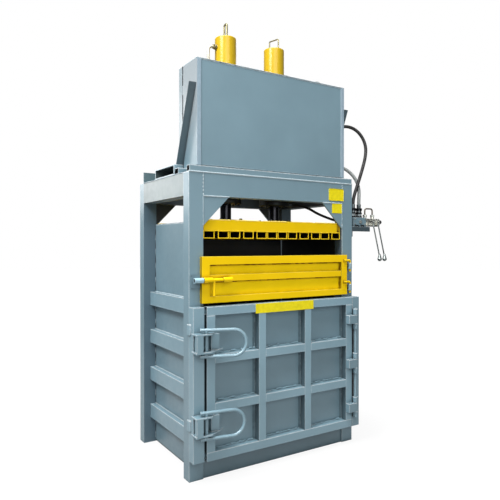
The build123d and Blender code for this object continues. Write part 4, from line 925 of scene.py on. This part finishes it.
class BALER_OT_welds(bpy.types.Operator):
    """Weld beads along the joints of the frame, doors and platen"""

    bl_idname = "baler.welds"
    bl_label = "Weld beads"

    def execute(self, context):
        settings = context.scene.baler_welds
        cloud = bpy.data.textures.new("bead_clouds", "CLOUDS")
        cloud.noise_scale = 0.03
        cloud.noise_depth = 2
        for name, (body, slot, finish, lines) in weld_lines().items():
            beads = [self.bead(context, settings, cloud, *line) for line in lines]
            piece = joined(beads, name)
            pick(piece)
            bpy.ops.object.shade_smooth()
            hand_over(piece, body, MATERIALS[finish])
        return {"FINISHED"}

    def bead(self, context, settings, cloud, start, end, radius):
        """A rippled bar between two points, half sunk in the joint that it fills."""
        start, end = Vector(start), Vector(end)
        length = (end - start).length
        count = max(1, round(length / settings.ripple_pitch))
        pitch = length / count
        deselect()
        bpy.ops.mesh.primitive_cylinder_add(vertices=7, radius=radius, depth=pitch, end_fill_type="NOTHING",
                                            location=(0, 0, pitch / 2))
        bead = context.object
        bpy.ops.object.transform_apply(location=True)
        bpy.ops.object.mode_set(mode="EDIT")
        bpy.ops.mesh.select_all(action="SELECT")
        bpy.ops.mesh.bisect(plane_co=(0, 0, pitch * 0.6), plane_no=(0, 0, 1))
        bpy.ops.transform.resize(value=(1.22, 1.22, 1), center_override=(0, 0, pitch * 0.6))
        bpy.ops.object.mode_set(mode="OBJECT")
        repeat = bead.modifiers.new("ripples", "ARRAY")
        repeat.count = count
        repeat.use_relative_offset = False
        repeat.use_constant_offset = True
        repeat.constant_offset_displace = (0, 0, pitch)
        repeat.use_merge_vertices = True
        repeat.merge_threshold = 0.0002
        apply_modifiers(bead)
        bead.rotation_euler = (end - start).to_track_quat("Z", "Y").to_euler()
        bead.location = start
        settle(bead)
        wander = bead.modifiers.new("wander", "DISPLACE")
        wander.texture = cloud
        wander.texture_coords = "GLOBAL"
        wander.strength = settings.unevenness
        wander.mid_level = 0.5
        apply_modifiers(bead)
        return bead


def across(x0, x1, y, z, radius):
    """A bead from left to right."""
    return ((x0, y, z), (x1, y, z), radius)


def deep(x, y0, y1, z, radius):
    """A bead from front to back."""
    return ((x, y0, z), (x, y1, z), radius)


def tall(x, y, z0, z1, radius):
    """A bead from bottom to top."""
    return ((x, y, z0), (x, y, z1), radius)


def stitches(line, count, share):
    """count short beads spread along a line, filling a share of it."""
    start, end, radius = Vector(line[0]), Vector(line[1]), line[2]
    step = (end - start) / count
    return [(start + step * n, start + step * (n + share), radius) for n in range(count)]


def head_welds():
    """Beads on the front of the head beam, and those in the corners under and beside the beams."""
    face, gusset, pitch = HEAD_FRONT - 0.0005, HEAD_LOW - GUSSET_LOW, 0.024
    end = round(COLUMN_EDGE - 0.002, 4)
    head = [across(-HALF_WIDTH, HALF_WIDTH, HEAD_FRONT + 0.001, FRAME_TOP, 0.0042)]
    corners = []
    for side in (-1, 1):
        lowest = HEAD_LOW + 0.005 if side < 0 else SIGN_TOP + 0.004
        count = round((FRAME_TOP - lowest) / pitch)
        head += stitches(tall(side * INNER_X, face, lowest, FRAME_TOP - 0.004, 0.0028), count, 0.45)
        head.append(across(side * INNER_X, side * (INNER_X - gusset), face, HEAD_LOW, 0.0034))
        corners.append(tall(side * INNER_X, face, GUSSET_LOW, HEAD_LOW, 0.0025))
        corners.append(deep(side * COLUMN_X, -COLUMN_EDGE, COLUMN_EDGE, HEAD_LOW, 0.003))
        corners.append(deep(side * HALF_WIDTH, -end, end, FRAME_TOP - 0.001, 0.003))
    return head, corners


def wall_welds():
    """Beads on top of the side ribs, and those on the walls of the pressing chamber."""
    rib_tops, walls = [], []
    end, middle = round(COLUMN_EDGE - 0.002, 4), (INNER_X + WALL_X) / 2
    for side in (-1, 1):
        outer = side * WALL_X
        for z in RIB_HEIGHTS:
            rib_tops.append(deep(outer, -COLUMN_EDGE, COLUMN_EDGE, z + RIB_HALF, 0.0045))
            walls.append(deep(outer, -COLUMN_EDGE, COLUMN_EDGE, z - RIB_HALF, 0.0035))
            rib_tops += stitches(deep(side * COLUMN_X, -0.34, 0.34, z + RIB_HALF, 0.0018), 7, 0.6)
        for y, radius in ((end, 0.0035), (-end, 0.003)):
            walls += stitches(tall(outer, y, 0.03, WALL_TOP - 0.01, radius), 15, 0.4)
        walls.append(deep(side * middle, -end, end, WALL_TOP, 0.0035))
    for z in RIB_HEIGHTS:
        for edge in (-RIB_HALF, RIB_HALF):
            walls.append(across(-INNER_X, INNER_X, REAR_WALL_Y, z + edge, 0.0035))
    return rib_tops, walls


def platen_welds():
    """Beads along the tubes and the front channel of the platen, and the paler one on the channel's edge."""
    half, front, back = 0.57, side_of("platen_tubes", LOW, "y"), -0.356
    tube_top, channel_top = side_of("platen_tubes", HIGH, "z"), 1.650
    seams = [across(-half, half, front, tube_top, 0.0025), across(-half, half, back, channel_top, 0.0035)]
    return seams, stitches(across(-half, half, front + 0.002, channel_top, 0.0032), 5, 0.85)


def cylinder_welds():
    """Beads along the crosshead and round the cylinders, and those round the feet of the lifting eyes."""
    low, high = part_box("cylinder_crosshead")
    crosshead = [across(-HALF_WIDTH, HALF_WIDTH, y, low.z + 0.001, 0.004) for y in (low.y, high.y)]
    for x in (-CYLINDER_X, CYLINDER_X):
        crosshead += ring_beads(x, CYLINDER_Y, high.z + 0.001, FLANGE_RADIUS + 0.002, 0.0035)
    eyes = [bead for x, y in EYE_FEET for bead in ring_beads(x, y, CYLINDER_TOP + 0.001, 0.009, 0.0025, 8)]
    return crosshead, eyes


def weld_lines():
    """Name to (body, slot, finish, beads)."""
    head, corners = head_welds()
    rib_tops, walls = wall_welds()
    pocket_bottoms, pocket_sides = door_welds()
    platen, platen_edge = platen_welds()
    crosshead, eyes = cylinder_welds()
    return {
        # The paler bead finishes, bead_paint, pocket_bead and yellow_bead, are a painted highlight on the
        # beads
        "head_welds": ("frame", "frame_paint", "bead_paint", head),
        "corner_welds": ("frame", "frame_paint", "frame_paint", corners + crosshead),
        "rib_welds": ("frame", "frame_paint", "bead_paint", rib_tops),
        "chamber_welds": ("frame", "frame_paint", "frame_paint", walls),
        "pocket_welds": ("lower_door", "frame_paint", "pocket_bead", pocket_bottoms),
        "lower_door_welds": ("lower_door", "frame_paint", "plate_paint", pocket_sides),
        "platen_welds": ("platen", "yellow_paint", "yellow_paint", platen),
        "platen_edge_weld": ("platen", "yellow_paint", "yellow_bead", platen_edge),
        "eye_welds": ("frame", "yellow_paint", "yellow_paint", eyes),
    }


def ring_beads(x, y, z, radius, thickness, sides=16):
    """Straight beads laid round a circle."""
    turns = [2 * math.pi * n / sides for n in range(sides + 1)]
    places = [(x + radius * math.cos(turn), y + radius * math.sin(turn), z) for turn in turns]
    return [(start, end, thickness) for start, end in zip(places, places[1:])]


def spans(first, length, gap):
    """Low and high ends of three like stretches in a row."""
    return [(first + n * (length + gap), first + n * (length + gap) + length) for n in range(3)]


def door_grid():
    """Sideways and upright ends of the pockets of the lower door, from its plate and bars."""
    low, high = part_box("lower_door_plate")
    edge, bar = 0.060, 0.056
    wide_cell = (high.x - low.x - 2 * edge - 2 * bar) / 3
    tall_cell = (high.z - low.z - 4 * bar) / 3
    return spans(low.x + edge, wide_cell, bar), spans(low.z + bar, tall_cell, bar)


def door_welds():
    """Beads at the bottom of each pocket of the lower door, and round its other three sides."""
    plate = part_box("lower_door_plate")[LOW].y
    columns, rows = door_grid()
    bottoms, sides = [], []
    for x0, x1 in columns:
        for z0, z1 in rows:
            start = x0 + random.uniform(0, 0.3) * (x1 - x0)
            while start < x1 - 0.02:
                length = min(random.uniform(0.008, 0.034), x1 - start)
                height = z0 + random.uniform(-0.002, 0.007)
                radius = random.uniform(0.004, 0.008)
                bottoms.append(across(start, start + length, plate - 0.004, height, radius))
                start += length * random.uniform(0.6, 1.2)
            sides += [across(x0, x1, plate, z0, 0.0035), across(x0, x1, plate, z1, 0.003)]
            sides += [tall(x, plate, z0, z1, 0.003) for x in (x0, x1)]
    return bottoms, sides


class BALER_OT_fittings(bpy.types.Operator):
    """Unions, plugs, screws and knob of the hand valve, and the ferrules of the hoses"""

    bl_idname = "baler.fittings"
    bl_label = "Valve fittings"

    def execute(self, context):
        settings = context.scene.baler_fittings
        finished(self.union_rings(settings), "union_rings", "frame", "union_black")
        nuts = self.union_nuts(settings) + self.ferrules(context, settings)
        finished(nuts, "union_nuts", "frame", "union_zinc")
        finished(self.plugs(), "valve_plugs", "frame", "bright_steel")
        knob_place = (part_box("valve_body")[HIGH].x, VALVE_Y, 1.6723)
        knob = turned(collar(0.0155, -0.026, 0.001, 0.003), 18, knob_place, (1, 0, 0))
        finished([knob], "relief_knob", "frame", "knob_plastic")
        finished(self.section_joints(), "valve_joints", "frame", "union_black")
        pipe_end, pipe_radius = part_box("tank_pipe")[HIGH], 0.010
        port = (pipe_end.x, CYLINDER_Y, pipe_end.z - pipe_radius)
        socket = turned(collar(0.0185, -0.003, 0.014), 24, port, (1, 0, 0))
        nut = turned(collar(0.0165, 0, 0.016), 6, port, (-1, 0, 0))
        finished([socket, nut], "tank_pipe_union", "frame", "eye_brass")
        return {"FINISHED"}

    def union_places(self):
        """The foot of each of the two unions."""
        low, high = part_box("hose_fittings")
        reach = 0.019
        return [(x, (low.y + high.y) / 2, low.z) for x in (low.x + reach, high.x - reach)]

    def union_rings(self, settings):
        """Black rings at the foot, the middle and the top of each union."""
        radius = settings.ring_radius
        bands = ((0.0005, 0.011), (0.031, 0.039), (0.055, 0.073))
        return [turned(collar(radius, low, high, 0.0015), 24, place) for place in self.union_places()
                for low, high in bands]

    def union_nuts(self, settings):
        """A hexagon nut and a round one on each union."""
        nuts = []
        for place in self.union_places():
            nuts.append(turned(collar(settings.nut_radius, 0.011, 0.031, 0.0015), 6, place))
            nuts.append(turned(collar(settings.nut_radius * 0.94, 0.039, 0.055), 24, place))
        return nuts

    def ferrules(self, context, settings):
        """A crimped sleeve at both ends of each hose, along its first and last stretch."""
        sleeves = []
        for _, diameter, _, _, points in HOSES:
            radius = getattr(context.scene.baler_hoses, diameter) / 2
            length = settings.ferrule_length
            wide, crimped = radius * 1.30, radius * 1.14
            rings = [(wide, 0)]
            for share in (0.2, 0.4, 0.6):
                for width, more in ((wide, 0), (crimped, 0.05), (wide, 0.10)):
                    rings.append((width, length * (share + more)))
            rings += [(wide, length * 0.96), (radius * 1.12, length)]
            for place, beyond in ((points[0], points[1]), (points[-1], points[-2])):
                sleeves.append(turned(rings, 20, place, Vector(beyond) - Vector(place)))
        return sleeves

    def section_joints(self):
        """Dark joints round the valve body, where its sections meet."""
        depth, height, thickness, proud = 0.058, 0.060, 0.0035, 0.0008
        joints = []
        for x in (0.857, 0.886, 0.924, 0.938, 0.980, 1.004):
            joint = block((x, VALVE_Y, VALVE_Z), (thickness, depth + 2 * proud, height + 2 * proud))
            soften(joint, 0.0012)
            joints.append(joint)
        return joints

    def plugs(self):
        """Hexagon plugs and socket screws on the front of the valve and its manifold."""
        body_front, (low, high) = -0.398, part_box("valve_manifold")
        large, small, screw = collar(0.013, 0, 0.008), collar(0.011, 0, 0.009), collar(0.0055, 0, 0.004)
        port_nut, forward = collar(0.0165, 0.016, 0.032), (0, -1, 0)
        plugs = [turned(small, 6, (x, body_front, 1.680), forward) for x in (0.872, 0.931, 0.988)]
        plugs.append(turned(large, 6, ((low.x + high.x) / 2, low.y, VALVE_Z + 0.001), forward))
        for x in (low.x + 0.014, high.x - 0.014):
            plugs += [turned(screw, 16, (x, low.y, z), forward) for z in (low.z + 0.020, high.z - 0.012)]
        plugs += [turned(port_nut, 6, (x, -0.370, 1.696)) for x in (0.876, 0.957)]
        return plugs


class BALER_OT_bolts(bpy.types.Operator):
    """Bolts of the rod plates, tank lid, motor and pump, the fan grille and the filler cap's ribs"""

    bl_idname = "baler.bolts"
    bl_label = "Bolts and cap"

    def execute(self, context):
        radius = context.scene.baler_fittings.bolt_radius
        washer = turned([(radius * 1.25, 0), (radius * 1.25, 0.0015), (radius * 1.24, 0.0016)], 20)
        head = turned(collar(radius, 0.0014, 0.0014 + radius * 0.75), 6)
        master = joined([washer, head], "bolt_master")
        rods = [copy_of(master, place) for place in self.rod_plate_places()]
        finished(rods, "rod_plate_bolts", "platen", "dark_steel")
        small = [copy_of(master, *where) for where in self.small_bolts()]
        finished(small + self.grille(), "small_bolts", "frame", "bright_steel")
        bpy.data.objects.remove(master)
        finished(self.cap(), "cap_ribs", "frame", "cap_plastic")
        return {"FINISHED"}

    def rod_plate_places(self):
        """Four bolts round each piston rod, on the plates of the platen."""
        reach, plate_top = 0.08, side_of("platen_beams", HIGH, "z") - 0.0001
        return [(x + dx, CYLINDER_Y + dy, plate_top) for x in (-CYLINDER_X, CYLINDER_X)
                for dx in (-reach, reach) for dy in (-reach, reach)]

    def shaft(self):
        """How far back and how high the motor's shaft lies."""
        low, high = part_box("pump_motor")
        return (low.y + high.y) / 2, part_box("gear_pump")[LOW].z + 0.043

    def small_bolts(self):
        """Place, turn and size of each small bolt."""
        up, left = (0, 0, 0), (0, -math.pi / 2, 0)
        lid_low, lid_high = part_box("tank_lid")
        motor_low, motor_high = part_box("pump_motor")
        pump_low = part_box("gear_pump")[LOW]
        y, z = self.shaft()
        bolts = []
        for n in range(7):
            x = lid_low.x + 0.03 + n * (lid_high.x - lid_low.x - 0.06) / 6
            for row in (lid_low.y + 0.046, lid_high.y - 0.026):
                bolts.append(((x, row, lid_high.z), up, (0.7,) * 3))
        for a, b in ((-1, -1), (-1, 1), (1, -1), (1, 1)):
            bolts.append(((motor_low.x, y + a * 0.0595, z + b * 0.0595), left, (0.45,) * 3))
            bolts.append(((pump_low.x, y + a * 0.029, z + b * 0.029), left, (0.6,) * 3))
            bolts.append(((0.4 + a * 0.035, y + b * 0.035, motor_high.z), up, (0.4,) * 3))
        return bolts

    def grille(self):
        """Rings and spokes over the motor's fan."""
        place = (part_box("pump_motor")[HIGH].x, *self.shaft())
        wires = []
        for radius in (0.022, 0.036, 0.050, 0.064):
            deselect()
            bpy.ops.mesh.primitive_torus_add(major_radius=radius, minor_radius=0.0016, major_segments=40,
                                             minor_segments=6, location=place, rotation=(0, math.pi / 2, 0))
            wires.append(bpy.context.object)
        for n in range(3):
            turn = math.pi * n / 3
            along = Vector((0, math.cos(turn), math.sin(turn)))
            wires.append(turned([(0.0018, 0), (0.0018, 0.132)], 6, Vector(place) - along * 0.066, along))
        return wires

    def cap(self):
        """Grip ribs round the filler cap and a low dome on it."""
        low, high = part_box("filler_cap")
        middle = (low + high) / 2
        reach = (high.x - low.x) / 2
        ribs, count = [], 20
        for n in range(count):
            turn = 2 * math.pi * n / count
            place = (middle.x + reach * math.cos(turn), middle.y + reach * math.sin(turn), low.z + 0.008)
            ribs.append(turned([(0.002, 0), (0.0026, 0.003), (0.0026, 0.019), (0.0015, 0.022)], 8, place))
        dome = [(reach * 0.9, 0), (reach * 0.82, 0.004), (reach * 0.5, 0.007), (reach * 0.2, 0.008)]
        ribs.append(turned(dome, 32, (middle.x, middle.y, high.z - 0.001)))
        return ribs


class BALER_OT_signs(bpy.types.Operator):
    """Bare yellow plates on the head beam and the lower door"""

    bl_idname = "baler.signs"
    bl_label = "Sign plates"

    def execute(self, context):
        for name, body, x0, x1, z0, z1, face in SIGNS:
            middle = ((x0 + x1) / 2, face - SIGN_THICKNESS / 2, (z0 + z1) / 2)
            plate = block(middle, (x1 - x0, SIGN_THICKNESS, z1 - z0))
            plate.name = name
            bpy.ops.object.mode_set(mode="EDIT")
            bpy.ops.mesh.select_all(action="DESELECT")
            bpy.ops.object.mode_set(mode="OBJECT")
            for edge in plate.data.edges:
                a, b = (plate.data.vertices[v].co for v in edge.vertices)
                edge.select = abs(a.y - b.y) > SIGN_THICKNESS / 2
            bpy.ops.object.mode_set(mode="EDIT")
            bpy.ops.mesh.select_mode(type="EDGE")
            bpy.ops.mesh.bevel(offset=0.004, segments=4, affect="EDGES")
            bpy.ops.object.mode_set(mode="OBJECT")
            soften(plate, 0.0004)
            hand_over(plate, body, MATERIALS["sign_plate"])
        return {"FINISHED"}


class BALER_PT_panel(bpy.types.Panel):
    """Steps of the baler, in order"""

    bl_idname = "BALER_PT_panel"
    bl_label = "Recycling baler"
    bl_space_type = "VIEW_3D"
    bl_region_type = "UI"
    bl_category = "Baler"

    def draw(self, context):
        for step in STEPS:
            self.layout.operator(step)
        for name in SETTINGS:
            group = getattr(context.scene, name)
            for key in group.__annotations__:
                self.layout.prop(group, key)


SETTINGS = {"baler_paint": PaintSettings, "baler_welds": WeldSettings, "baler_hoses": HoseSettings,
            "baler_fittings": FittingSettings, "baler_stage": StageSettings}
OPERATORS = [BALER_OT_stage, BALER_OT_paint, BALER_OT_hoses, BALER_OT_welds, BALER_OT_fittings,
             BALER_OT_bolts, BALER_OT_signs]
STEPS = [operator.bl_idname for operator in OPERATORS]


def register():
    """Settings, steps and panel become known to the program."""
    for group in SETTINGS.values():
        bpy.utils.register_class(group)
    for name, group in SETTINGS.items():
        setattr(bpy.types.Scene, name, PointerProperty(type=group))
    for operator in OPERATORS:
        bpy.utils.register_class(operator)
    bpy.utils.register_class(BALER_PT_panel)


def unregister():
    bpy.utils.unregister_class(BALER_PT_panel)
    for operator in reversed(OPERATORS):
        bpy.utils.unregister_class(operator)
    for name, group in SETTINGS.items():
        delattr(bpy.types.Scene, name)
        bpy.utils.unregister_class(group)


def main():
    """Every step in order."""
    random.seed(7)
    register()
    for step in STEPS:
        group, name = step.split(".")
        getattr(getattr(bpy.ops, group), name)()
    bpy.context.view_layer.update()


if __name__ == "__main__":
    main()
